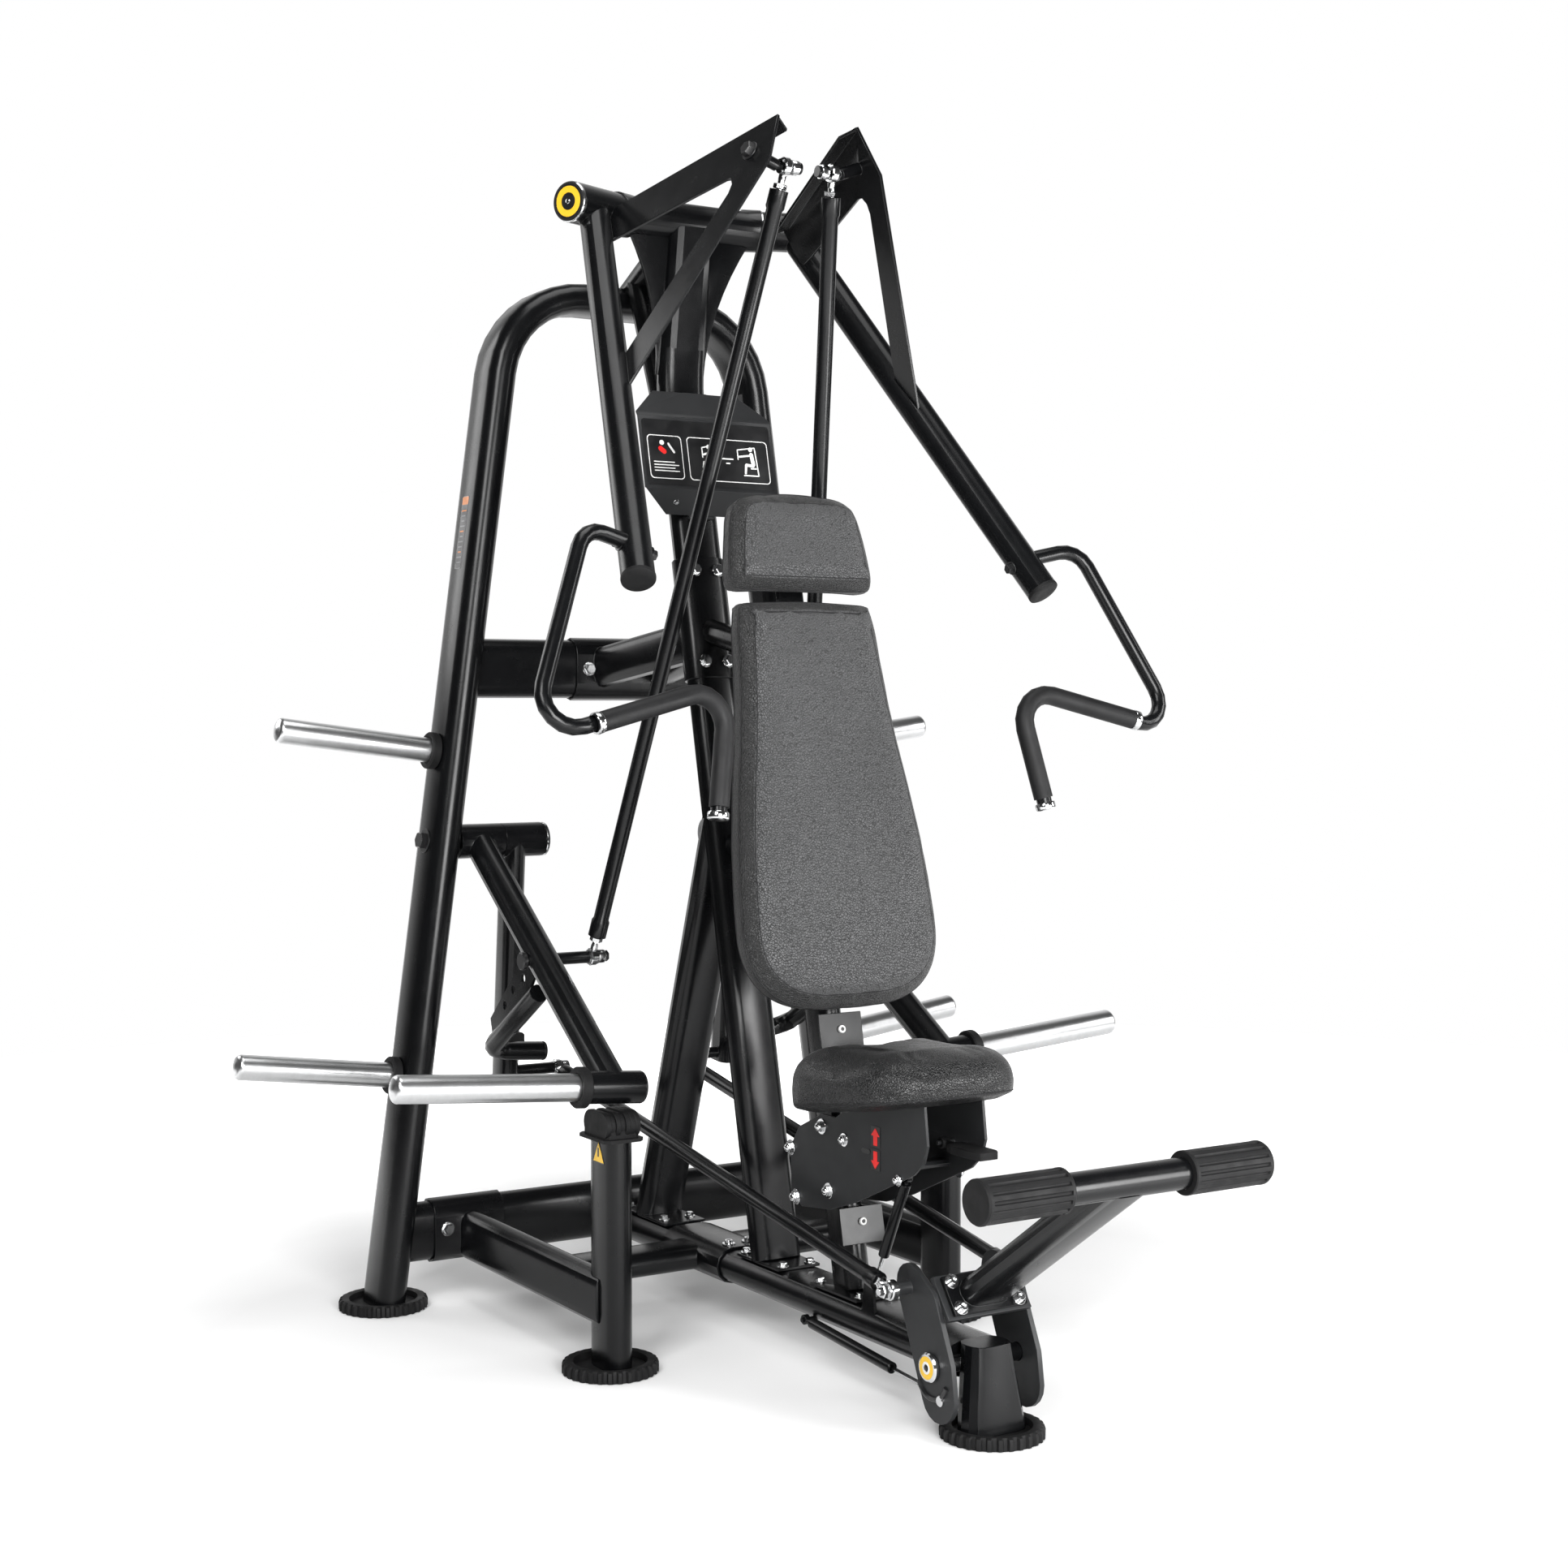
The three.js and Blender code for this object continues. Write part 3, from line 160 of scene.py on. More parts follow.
def mix_colour(tree, factor, a, b):
    """factor is a socket; a and b are sockets or colours."""
    made = node(tree, "ShaderNodeMix", data_type="RGBA")
    for number, value in ((MIX_FACTOR, factor), (MIX_A, a), (MIX_B, b)):
        if isinstance(value, bpy.types.NodeSocket):
            tree.links.new(value, made.inputs[number])
        else:
            made.inputs[number].default_value = (*value, 1.0)
    return made.outputs[MIX_RESULT]


def bump(tree, shader, height, strength, distance, after=None):
    made = node(tree, "ShaderNodeBump")
    made.inputs["Strength"].default_value = strength
    made.inputs["Distance"].default_value = distance
    tree.links.new(height, made.inputs["Height"])
    if after is not None:
        tree.links.new(after, made.inputs["Normal"])
    tree.links.new(made.outputs["Normal"], shader.inputs["Normal"])
    return made.outputs["Normal"]


def patchy(tree, shader, pattern, places, first, second):
    """Base colour that goes from the first to the second with the pattern."""
    fade = ramp(tree, pattern, [(places[0], 0.0), (places[1], 1.0)])
    tree.links.new(mix_colour(tree, fade, first, second), shader.inputs["Base Color"])


def uneven(tree, shader, pattern, places, rough):
    """Roughness that goes from the first value to the second with the pattern."""
    tree.links.new(ramp(tree, pattern, list(zip(places, rough))), shader.inputs["Roughness"])


def powder_coat(name, base, lighter, rough):
    material, tree, shader = new_material(name, Metallic=0.0, Specular_IOR_Level=0.24)
    coords = object_coords(tree)
    patchy(tree, shader, noise(tree, coords, 7.0, 5.0, 0.6), (0.3, 0.75), base, lighter)
    uneven(tree, shader, noise(tree, coords, 22.0, 6.0, 0.6), (0.25, 0.8), rough)
    bump(tree, shader, noise(tree, coords, 260.0, 3.0, 0.55), 0.06, 0.0004)
    return material


def metal(name, base, rough, brushed=(1, 1, 1), fine=0.05, scratch_scale=300.0):
    material, tree, shader = new_material(name, Metallic=1.0)
    coords = object_coords(tree)
    darker = tuple(channel * 0.86 for channel in base)
    patchy(tree, shader, noise(tree, coords, 60.0, 5.0, 0.7), (0.35, 0.8), base, darker)
    uneven(tree, shader, noise(tree, coords, 14.0, 6.0, 0.65), (0.2, 0.85), rough)
    scratches = noise(tree, object_coords(tree, brushed), scratch_scale, 3.0, 0.7)
    bump(tree, shader, scratches, fine, 0.0004)
    return material


def rubber(name, base, lighter, rough=(0.55, 0.75), grain=520.0):
    material, tree, shader = new_material(name, Specular_IOR_Level=0.22)
    coords = object_coords(tree)
    patchy(tree, shader, noise(tree, coords, 18.0, 7.0, 0.68), (0.35, 0.8), base, lighter)
    uneven(tree, shader, noise(tree, coords, 35.0), (0.3, 0.7), rough)
    bump(tree, shader, noise(tree, coords, grain, 4.0, 0.6), 0.22, 0.0005)
    return material


PAD_EDGE = 0.0285                                      # metres from the back pads' middle plane to their front edge
EDGE_BLUR = 0.0006


def painted_side_shade_mask(tree, coords):
    """White behind the pads' front faces, where the sides get the painted shade colour; black on the faces themselves.
    """
    from_middle = node(tree, "ShaderNodeVectorMath", operation="SUBTRACT")
    tree.links.new(coords, from_middle.inputs[0])
    from_middle.inputs[1].default_value = PAD_MID
    out = node(tree, "ShaderNodeVectorMath", operation="DOT_PRODUCT")
    tree.links.new(from_middle.outputs["Vector"], out.inputs[0])
    out.inputs[1].default_value = PAD_OUT
    edge = node(tree, "ShaderNodeMapRange")
    edge.inputs["From Min"].default_value = PAD_EDGE - EDGE_BLUR
    edge.inputs["From Max"].default_value = PAD_EDGE + EDGE_BLUR
    edge.inputs["To Min"].default_value = 1.0
    edge.inputs["To Max"].default_value = 0.0
    tree.links.new(out.outputs["Value"], edge.inputs["Value"])
    return edge.outputs["Result"]


def hide(name, base, lighter, rough, cell, depth, sheen=0.06, painted_side_shade=None):
    """Grained leather or vinyl: small raised cells, wrinkles between them painted darker as shade, and slow colour
    change.
    painted_side_shade: colour of the pad's sides, a painted shade far darker than the front faces."""
    material, tree, shader = new_material(name, Specular_IOR_Level=0.42, Sheen_Weight=sheen, Sheen_Roughness=0.5)
    coords = object_coords(tree)
    warp = noise(tree, coords, 60.0, 3.0, 0.5)
    cells = node(tree, "ShaderNodeTexVoronoi", feature="DISTANCE_TO_EDGE")
    cells.inputs["Scale"].default_value = cell
    bent = node(tree, "ShaderNodeVectorMath", operation="MULTIPLY_ADD")
    tree.links.new(warp, bent.inputs[0])
    bent.inputs[1].default_value = (0.004, 0.004, 0.004)
    tree.links.new(coords, bent.inputs[2])
    tree.links.new(bent.outputs["Vector"], cells.inputs["Vector"])
    pits = ramp(tree, cells.outputs["Distance"], [(0.0, 0.0), (0.16, 1.0)])
    slow = ramp(tree, noise(tree, coords, 9.0, 6.0, 0.6), [(0.3, 0.0), (0.75, 1.0)])
    skin = mix_colour(tree, slow, base, lighter)
    # painted shade: the pads' sides are coloured far darker than their front faces
    if painted_side_shade:
        skin = mix_colour(tree, painted_side_shade_mask(tree, coords), skin, painted_side_shade)
    # painted shade in the grooves between the cells: the skin's colour, or on the pads the sides' painted shade, made
    # darker
    painted_groove_shade = tuple(channel * 0.55 for channel in painted_side_shade or base)
    tree.links.new(mix_colour(tree, pits, painted_groove_shade, skin), shader.inputs["Base Color"])
    uneven(tree, shader, noise(tree, coords, 40.0, 5.0), (0.3, 0.75), rough)
    first = bump(tree, shader, pits, 0.6, depth)
    bump(tree, shader, noise(tree, coords, 170.0, 5.0, 0.62), 0.5, 0.0016, first)
    return material


def paint(name, colour, rough):
    material, tree, shader = new_material(name)
    coords = object_coords(tree)
    dim = tuple(channel * 0.86 for channel in colour)
    patchy(tree, shader, noise(tree, coords, 70.0, 5.0, 0.65), (0.35, 0.8), colour, dim)
    uneven(tree, shader, noise(tree, coords, 30.0), (0.3, 0.7), (rough - 0.06, rough + 0.08))
    bump(tree, shader, noise(tree, coords, 700.0), 0.05, 0.0002)
    return material


MATERIAL = {
    "powder_coat": powder_coat("black_powder", (0.0020, 0.0021, 0.0024), (0.0034, 0.0036, 0.0040), (0.21, 0.30)),
    "plate_coat": powder_coat("grey_powder", (0.0120, 0.0125, 0.0132), (0.0175, 0.0180, 0.0190), (0.38, 0.52)),
    "chrome": metal("polished_steel", (0.62, 0.625, 0.63), (0.10, 0.22)),
    "horn": metal("brushed_horn_steel", (0.60, 0.605, 0.61), (0.27, 0.31), (1.0, 60.0, 60.0), 0.004, 55.0),
    "rubber": rubber("black_rubber", (0.0024, 0.0024, 0.0026), (0.0048, 0.0048, 0.0051)),
    "grip": rubber("grip_rubber", (0.0045, 0.0045, 0.0048), (0.0080, 0.0080, 0.0085), (0.46, 0.62), 900.0),
    # vinyl pads: the sides are painted near black as shade, the front faces kept lighter
    "pad_vinyl": hide("grained_vinyl", (0.035, 0.0355, 0.0365), (0.047, 0.0475, 0.0490), (0.42, 0.56), 230.0, 0.0018,
                      painted_side_shade=(0.0022, 0.0023, 0.0025)),
    "seat_leather": hide("seat_leather", (0.0020, 0.0021, 0.0023), (0.0036, 0.0037, 0.0040), (0.30, 0.38), 230.0,
                         0.0016, sheen=0.0),
    "seam": rubber("seam_thread", (0.008, 0.008, 0.0085), (0.015, 0.015, 0.0155), (0.6, 0.8), 1500.0),
    "label_black": paint("label_black", (0.006, 0.006, 0.0065), 0.34),
    "label_white": paint("label_white", (0.62, 0.62, 0.61), 0.42),
    "label_grey": paint("label_grey", (0.16, 0.16, 0.165), 0.42),
    "label_orange": paint("label_orange", (0.55, 0.17, 0.03), 0.42),
    "yellow": paint("warning_yellow", (0.66, 0.40, 0.02), 0.38),
    "red": paint("arrow_red", (0.62, 0.012, 0.010), 0.40),
}


# ---- Mesh code ----
def finish_mesh(name, bm, material, body, smooth_angle=34.0):
    bmesh.ops.recalc_face_normals(bm, faces=bm.faces)
    mesh = bpy.data.meshes.new(name)
    bm.to_mesh(mesh)
    bm.free()
    mesh.shade_smooth()
    mesh.set_sharp_from_angle(angle=math.radians(smooth_angle))
    piece = bpy.data.objects.new(name, mesh)
    bpy.context.scene.collection.objects.link(piece)
    mesh.materials.append(MATERIAL[material])
    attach(piece, body)
    return piece


def basis(direction):
    along = direction.normalized()
    helper = UP if abs(along.z) < 0.9 else RIGHT
    u = along.cross(helper).normalized()
    return u, along.cross(u), along


def add_rings(bm, rings, closed=False):
    """Joins each ring of points to the next; the two ends are capped, or joined to each other if closed."""
    rows = [[bm.verts.new(p) for p in ring] for ring in rings]
    count = len(rows[0])
    for low, high in zip(rows, rows[1:] + (rows[:1] if closed else [])):
        for i in range(count):
            j = (i + 1) % count
            bm.faces.new((low[i], low[j], high[j], high[i]))
    if not closed:
        bm.faces.new(list(reversed(rows[0])))
        bm.faces.new(rows[-1])


def ring_of(centre, u, w, radius, segments):
    turns = [i * 2 * math.pi / segments for i in range(segments)]
    return [centre + (u * math.cos(a) + w * math.sin(a)) * radius for a in turns]


def lathe(bm, profile, origin, direction, segments=48, closed=False):
    """profile: (radius, distance along) in millimetres, between two flat ends, or back to its start if closed."""
    u, w, along = basis(direction)
    add_rings(bm, [ring_of(origin + along * s / 1000, u, w, r / 1000, segments) for r, s in profile], closed)


def ring_solid(bm, profile, origin, direction, segments=48):
    lathe(bm, profile, origin, direction, segments, closed=True)


WASHER_THICK = 2.2


def on_washer(bm, origin, direction, outer):
    """Adds a washer of that outer radius, if there is one; returns where the head on it starts."""
    if not outer:
        return origin
    low, high = 0.5, WASHER_THICK - 0.5
    lathe(bm, [(outer - 0.5, 0), (outer, low), (outer, high), (outer - 0.5, WASHER_THICK)], origin, direction, 40)
    return origin + direction.normalized() * WASHER_THICK / 1000


def hex_head(bm, origin, direction, across, high, washer=None):
    start = on_washer(bm, origin, direction, washer)
    radius = across / math.sqrt(3)
    lathe(bm, [(radius, 0), (radius, high * 0.78), (radius * 0.86, high)], start, direction, 6)


def socket_head(bm, origin, direction, radius, high, washer=None):
    start = on_washer(bm, origin, direction, washer)
    rim, deep = radius * 0.55, high * 0.45
    profile = [(radius, 0), (radius, high - 0.9), (radius - 0.9, high), (rim, high), (rim * 0.96, high - deep)]
    lathe(bm, profile, start, direction, 36)


def dome_nut(bm, origin, direction, across, high, washer=None):
    start = on_washer(bm, origin, direction, washer)
    radius = across / math.sqrt(3)
    lathe(bm, [(radius, 0), (radius, high * 0.42), (radius * 0.92, high * 0.5)], start, direction, 6)
    dome = radius * 0.82
    profile = [(dome, high * 0.4)]
    for i in range(6):
        a = i / 6 * math.pi / 2
        profile.append((dome * math.cos(a), high * (0.5 + 0.5 * math.sin(a))))
    lathe(bm, profile, start, direction, 28)


def loft(bm, outline, thick, origin, u, w):
    """A flat plate with any outline (pairs in millimetres), its thickness centred."""
    n = u.cross(w).normalized()
    rings = [[origin + u * x / 1000 + w * y / 1000 + n * (k * thick / 2000) for x, y in outline] for k in (-1, 1)]
    add_rings(bm, rings)


def slab(bm, centre, u, w, half_u, half_w, thick, edge=0.0):
    """A rectangular plate with its corners cut by edge; sizes in millimetres."""
    a, b, c = half_u, half_w, edge
    outline = [(-a + c, -b), (a - c, -b), (a, -b + c), (a, b - c), (a - c, b), (-a + c, b), (-a, b - c), (-a, -b + c)]
    if edge == 0:
        outline = [(-a, -b), (a, -b), (a, b), (-a, b)]
    loft(bm, outline, thick, centre, u, w)


def tube(bm, points, radius, segments, closed=False):
    """A round tube through points that are close together; radius in millimetres."""
    count = len(points)
    rings = []
    normal = None
    for i, p in enumerate(points):
        before = points[(i - 1) % count] if closed or i else p
        after = points[(i + 1) % count] if closed or i < count - 1 else p
        tangent = (after - before).normalized()
        if normal is None:
            normal = basis(tangent)[0]
        normal = (normal - tangent * normal.dot(tangent)).normalized()
        rings.append(ring_of(p, normal, tangent.cross(normal), radius / 1000, segments))
    add_rings(bm, rings, closed)


GROUPS = {}


def group(body, material):
    """The mesh that collects the small parts of one material on one body into one piece."""
    if (body, material) not in GROUPS:
        GROUPS[body, material] = bmesh.new()
    return GROUPS[body, material]


def refine(node_name, material=None, edge=0.0):
    """A copy of the CAD node with its flat faces merged, smooth round faces and eased edges."""
    source = frame["nodes"][node_name]
    bm = bmesh.new()
    bm.from_mesh(source.data)
    bm.transform(source.matrix_world)
    bmesh.ops.remove_doubles(bm, verts=bm.verts, dist=0.00005)
    bmesh.ops.dissolve_limit(bm, angle_limit=math.radians(1.2), verts=bm.verts, edges=bm.edges)
    piece = finish_mesh(node_name + "_skin", bm, material or SLOT_OF[node_name], BODY_OF[node_name], 34.0)
    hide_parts(node_name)
    if edge:
        ease = piece.modifiers.new("ease", "BEVEL")
        ease.width = edge / 1000
        ease.segments = 2
        ease.limit_method = "ANGLE"
        ease.angle_limit = math.radians(40)
        ease.use_clamp_overlap = False
        ease.harden_normals = False


# ---- Frame steel: refined copies of the CAD ----
STEEL = {
    "rear_arch": 0, "rear_base_beam": 0, "upper_cross_beam": 0, "main_base_beam": 0, "base_cross_ties": 1.0,
    "left_base_strut": 1.0, "right_base_strut": 1.0, "left_post": 1.0, "right_post": 1.0, "front_leg": 1.0,
    "front_upright": 1.0, "rear_leg": 1.0, "mast": 1.2, "mast_sleeve": 1.2, "t_bar": 1.2, "top_link": 0,
    "mast_brace": 0, "seat_post": 1.0, "backrest_frame": 0.8, "placard": 0.5, "left_press_arm": 1.0,
    "right_press_arm": 1.0, "left_handle": 0, "right_handle": 0, "left_weight_arm": 0.8, "right_weight_arm": 0.8,
    "left_assist_lever": 0.8, "right_assist_lever": 0.8, "pedal_bracket": 1.0, "pedal_arm": 1.0,
    "seat_carriage": 1.0, "release_lever": 1.5, "damper_cylinder": 0.6, "damper_rod": 0,
    "gas_spring_cylinder": 0.6, "gas_spring_rod": 0,
}
for node_name, edge in STEEL.items():
    refine(node_name, edge=edge)
for side_name in ("left", "right"):
    refine(side_name + "_grip", "grip")


# ---- Plate horns, collars and end caps ----
# profiles are (radius, distance along) in millimetres
HORN_R, HORN_ROUND = 25.0, 9.0
HORN_COLLAR = [(26.0, 0.6), (34.5, 0.6), (37.0, 3.0), (37.0, 17.0), (34.5, 20.0), (30.0, 20.0), (26.0, 18.5)]


def plate_horn(node_name, body, origin, direction, length):
    bm = bmesh.new()
    straight = length - 13
    profile = [(20.0, 0), (HORN_R, 0.01)]
    profile += [(HORN_R, s) for s in (length * 0.25, length * 0.5, length * 0.75, straight)]
    for i in range(1, 9):
        a = i / 8 * math.pi / 2
        profile.append((HORN_R - HORN_ROUND + HORN_ROUND * math.cos(a), straight + 9.6 * math.sin(a)))
    profile += [(10.0, length - 1.6), (4.0, length - 0.3)]
    lathe(bm, profile, origin, direction, 64)
    piece = finish_mesh(node_name + "_steel", bm, "horn", body, 40.0)
    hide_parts(node_name)
    ring_solid(group(body, "rubber"), HORN_COLLAR, origin, direction, 56)


for side, side_name in SIDES:
    out = leg_out(side)
    for level, z in (("upper", 1105), ("lower", 459)):
        plate_horn(f"{side_name}_{level}_horn", "frame", at(side * leg_x(z), ARCH_Y, z) + out * LEG_HALF, out, 336)
    root_x, root_y, root_z = HORN_ROOT
    start = at(side * HORN_COLLAR_X, root_y, root_z + HORN_RISE * (HORN_COLLAR_X - root_x))
    plate_horn(f"{side_name}_front_horn", f"{side_name}_weight", start, Vector((side, 0, HORN_RISE)), 370)


def hub_cap(rings, body, origin, direction):
    for material, profile in rings:
        ring_solid(group(body, material), profile, origin, direction, 56)


PRESS_CAP = [
    ("chrome", [(38.6, -1.0), (38.6, 3.5), (36.9, 6.0), (33.1, 6.4), (33.0, -1.0)]),
    ("label_black", [(32.9, -1.0), (32.9, 6.6), (29.1, 6.9), (29.1, -1.0)]),
    ("yellow", [(29.0, -1.0), (29.0, 6.95), (16.6, 7.1), (16.6, -1.0)]),
]
REAR_CAP = [("chrome", [(33.5, 0.0), (34.8, 1.5), (34.8, 5.0), (31.5, 7.4), (24.0, 7.6), (24.0, 0.0)])]
PEDAL_CAP = [
    ("chrome", [(24.0, 0.0), (24.6, 1.5), (24.6, 6.0), (22.0, 9.0), (19.0, 9.4), (19.0, 0.0)]),
    ("yellow", [(18.9, 0.0), (18.9, 9.7), (10.6, 9.9), (10.6, 0.0)]),
]
SPLIT_RING = [(38.0, 17.6), (40.6, 17.6), (40.6, 20.2), (38.0, 20.2)]
ARM_PLUG = [(30.2, -3.0), (30.6, 0.0), (30.2, 3.4), (27.5, 5.0), (12.0, 5.8)]
GRIP_COLLAR = [(14.2, -6.5), (17.6, -6.5), (18.6, -5.0), (18.6, 4.0), (17.6, 5.5), (14.2, 5.5)]
GRIP_PLUG = [(15.0, 1.0), (17.8, 2.0), (17.8, 5.0), (15.5, 7.4), (6.0, 8.2)]

for side, side_name in SIDES:
    out = mirrored(HUB_DIR, side)
    press = f"{side_name}_press"
    tip = hub_point(side, HUB_TIP)
    hub_cap(PRESS_CAP, press, tip, out)
    lathe(group(press, "label_black"), [(16.5, -1.0), (16.5, 7.0), (13, 7.6), (6, 8.0)], tip, out, 48)
    lathe(group(press, "chrome"), [(5.0, 7.0), (5.0, 8.8), (3.8, 9.6)], tip, out, 24)
    # split ring where the hub meets the T-bar
    ring_solid(group("frame", "chrome"), SPLIT_RING, hub_point(side, 0), out, 56)
    # closed cap on the lower end of the press arm
    end = on_side(side, ARM_END)
    lathe(group(press, "rubber"), ARM_PLUG, end, end - hub_point(side, ARM_START), 40)
    # chrome collars at both ends of the grip, and a plug in its open end
    bend, grip_tip = on_side(side, GRIP_BEND), on_side(side, GRIP_TIP)
    for place in (on_side(side, GRIP_START), grip_tip):
        ring_solid(group(press, "chrome"), GRIP_COLLAR, place, bend - place, 36)
    lathe(group(press, "chrome"), GRIP_PLUG, grip_tip, grip_tip - bend, 36)

# inner ends of the rear hub shafts
for side in (-1, 1):
    start = at(side * 199, ARCH_Y, PIVOT_Z)
    hub_cap(REAR_CAP, "frame", start, RIGHT * -side)
    lathe(group("frame", "label_black"), [(23.8, 0.0), (23.8, 7.8), (12, 8.6)], start, RIGHT * -side, 40)

# pedal pivot caps
for side in (-1, 1):
    start = at(side * 94, -475, 118)
    hub_cap(PEDAL_CAP, "pedal", start, RIGHT * side)
    lathe(group("pedal", "label_white"), [(10.5, 0.0), (10.5, 9.9), (6.4, 10.3), (6.2, 8.0)], start, RIGHT * side, 40)
    lathe(group("pedal", "label_black"), [(4.4, 7.0), (4.4, 10.6), (3.4, 11.2)], start, RIGHT * side, 24)


# ---- Rubber feet: a geared rim round a dish ----
TEETH, PER_TOOTH, TIP_POINTS = 30, 6, 3
# (radius, height, depth of the gaps between the teeth), from the floor over the rim into the dish
FOOT_RIMS = ((84.0, 0.4, 0), (87.6, 0.9, 4.6), (87.9, 14.0, 5.0), (86.0, 19.5, 4.6), (81.5, 21.6, 1.0), (74.0, 21.8, 0),
             (67.5, 20.5, 0), (66.2, 9.2, 0), (40.0, 9.0, 0))
FEET = {"front_foot": (0, -517), "left_post_foot": (-POST_X, 139), "right_post_foot": (POST_X, 139),
        "left_rear_foot": (-548, 766), "right_rear_foot": (548, 766)}


def foot_rim(x, y, z, radius, gap):
    points = []
    for i in range(TEETH * PER_TOOTH):
        a = 2 * math.pi * i / (TEETH * PER_TOOTH)
        r = radius if i % PER_TOOTH < TIP_POINTS else radius - gap
        points.append(at(x + r * math.cos(a), y + r * math.sin(a), z))
    return points


for node_name, (x, y) in FEET.items():
    bm = bmesh.new()
    add_rings(bm, [foot_rim(x, y, z, radius, gap) for radius, z, gap in FOOT_RIMS])
    piece = finish_mesh(node_name + "_rubber", bm, "rubber", "frame", 30.0)
    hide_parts(node_name)


# ---- Bumpers on the posts ----
def oval_ring(x, y, z, wide, tall, steps=10):
    """A flat-oval outline in the YZ plane, long along Y."""
    r = tall / 2
    flat = wide / 2 - r
    points = []
    for sign in (1, -1):
        for i in range(steps + 1):
            a = -math.pi / 2 + i / steps * math.pi
            points.append(at(x, y + sign * (flat + r * math.cos(a)), z + sign * r * math.sin(a)))
    return points


RIBS, RIB_STEP = 7, 9.6
BUMPER_WIDE, BUMPER_TALL = 94, 50
RIB_EDGES = ((-4.6, 1.5), (-3.6, 0), (3.6, 0), (4.6, 1.5))       # (distance from the rib's middle, how much smaller)

for side, side_name in SIDES:
    bm = bmesh.new()
    rings = []
    for i in range(RIBS):
        middle = side * POST_X + (i - RIBS // 2) * RIB_STEP
        from_inside = i if side > 0 else RIBS - 1 - i
        grow = -6 if from_inside in (3, 5) else 0
        for edge, shrink in RIB_EDGES:
            size = grow - shrink
            rings.append(oval_ring(middle + edge, 130, 452, BUMPER_WIDE + size, BUMPER_TALL + size))
    add_rings(bm, rings)
    slab(bm, at(side * POST_X, 134, 435), RIGHT, REAR, 33, 46, 17, 6)
    slab(bm, at(side * POST_X, 134, 427.4), RIGHT, REAR, 39.5, 57.5, 6.0, 10)
    piece = finish_mesh(side_name + "_bumper_rubber", bm, "rubber", "frame", 32.0)
    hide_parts(side_name + "_bumper")


# ---- Foot rollers: rubber sleeves with long flutes ----
FLUTE = (0, 0, 0, 0, 0, 0.8, 1, 0.8)            # one rib and its groove


def fluted_ring(centre, u, w, radius, depth, flutes=15):
    points = []
    count = flutes * len(FLUTE)
    for i in range(count):
        a = 2 * math.pi * i / count
        r = (radius - depth * FLUTE[i % len(FLUTE)]) / 1000
        points.append(centre + (u * math.cos(a) + w * math.sin(a)) * r)
    return points


# (distance along, radius, depth of the flutes)
SLEEVE = ((0.3, 27, 0), (0.3, 33.5, 0), (2.2, 35, 0), (7, 35, 0), (8, 34.6, 2.8), (40, 34.6, 2.8), (80, 34.6, 2.8),
          (120, 34.6, 2.8), (151, 34.6, 2.8), (153, 35, 0), (158, 35, 0), (161.4, 33, 0), (162, 30, 0), (162, 12, 0))

for side, side_name in SIDES:
    bm = bmesh.new()
    start = at(side * 118, -844, 480)
    u, w, along = basis(RIGHT * side)
    add_rings(bm, [fluted_ring(start + along * s / 1000, u, w, r, depth) for s, r, depth in SLEEVE])
    piece = finish_mesh(side_name + "_roller_rubber", bm, "rubber", "pedal", 25.0)
    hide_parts(side_name + "_foot_roller")


# ---- Tie rods and pedal links ----
EYE_R, EYE_HALF = 17, 7


def rod_end(bm, eye, toward, reach, bore):
    """Eye, threaded shank with its neck, and lock nut; toward points along the rod."""
    hub = [(bore, -EYE_HALF), (EYE_R - 2, -EYE_HALF), (EYE_R, 2 - EYE_HALF), (EYE_R, EYE_HALF - 2),
           (EYE_R - 2, EYE_HALF), (bore, EYE_HALF)]
    ring_solid(bm, hub, eye, RIGHT, 40)
    lathe(bm, [(6.2, EYE_R - 3.0), (6.2, reach + 4)], eye, toward, 24)
    lathe(bm, [(7.2, EYE_R - 3.5), (7.0, EYE_R + 6.0), (6.3, EYE_R + 9.0)], eye, toward, 28)
    radius = 12.4
    nut = eye + toward * (reach - 10.5) / 1000
    lathe(bm, [(radius * 0.9, 0), (radius, 1.4), (radius, 8.2), (radius * 0.9, 9.6)], nut, toward, 6)


def link(node_name, body, first, last, radius, shank, bores, collar):
    along = (last - first).normalized()
    length = (last - first).length * 1000
    bright = bmesh.new()
    rod_end(bright, first, along, shank, bores[0])
    rod_end(bright, last, -along, shank, bores[1])
    finish_mesh(node_name + "_ends", bright, "chrome", body, 34.0)
    dark = bmesh.new()
    s0, s1 = shank, length - shank
    wide = radius + 2.6
    profile = [(radius - 4.0, s0), (wide, s0 + 0.8), (wide, s0 + collar), (radius, s0 + collar + 5)]
    profile += [(radius, s0 + (s1 - s0) * k / 6) for k in range(1, 6)]
    profile += [(radius, s1 - collar - 5), (wide, s1 - collar), (wide, s1 - 0.8), (radius - 4.0, s1)]
    lathe(dark, profile, first, along, 40)
    tube_piece = finish_mesh(node_name + "_tube", dark, "powder_coat", body, 34.0)
    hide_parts(node_name)


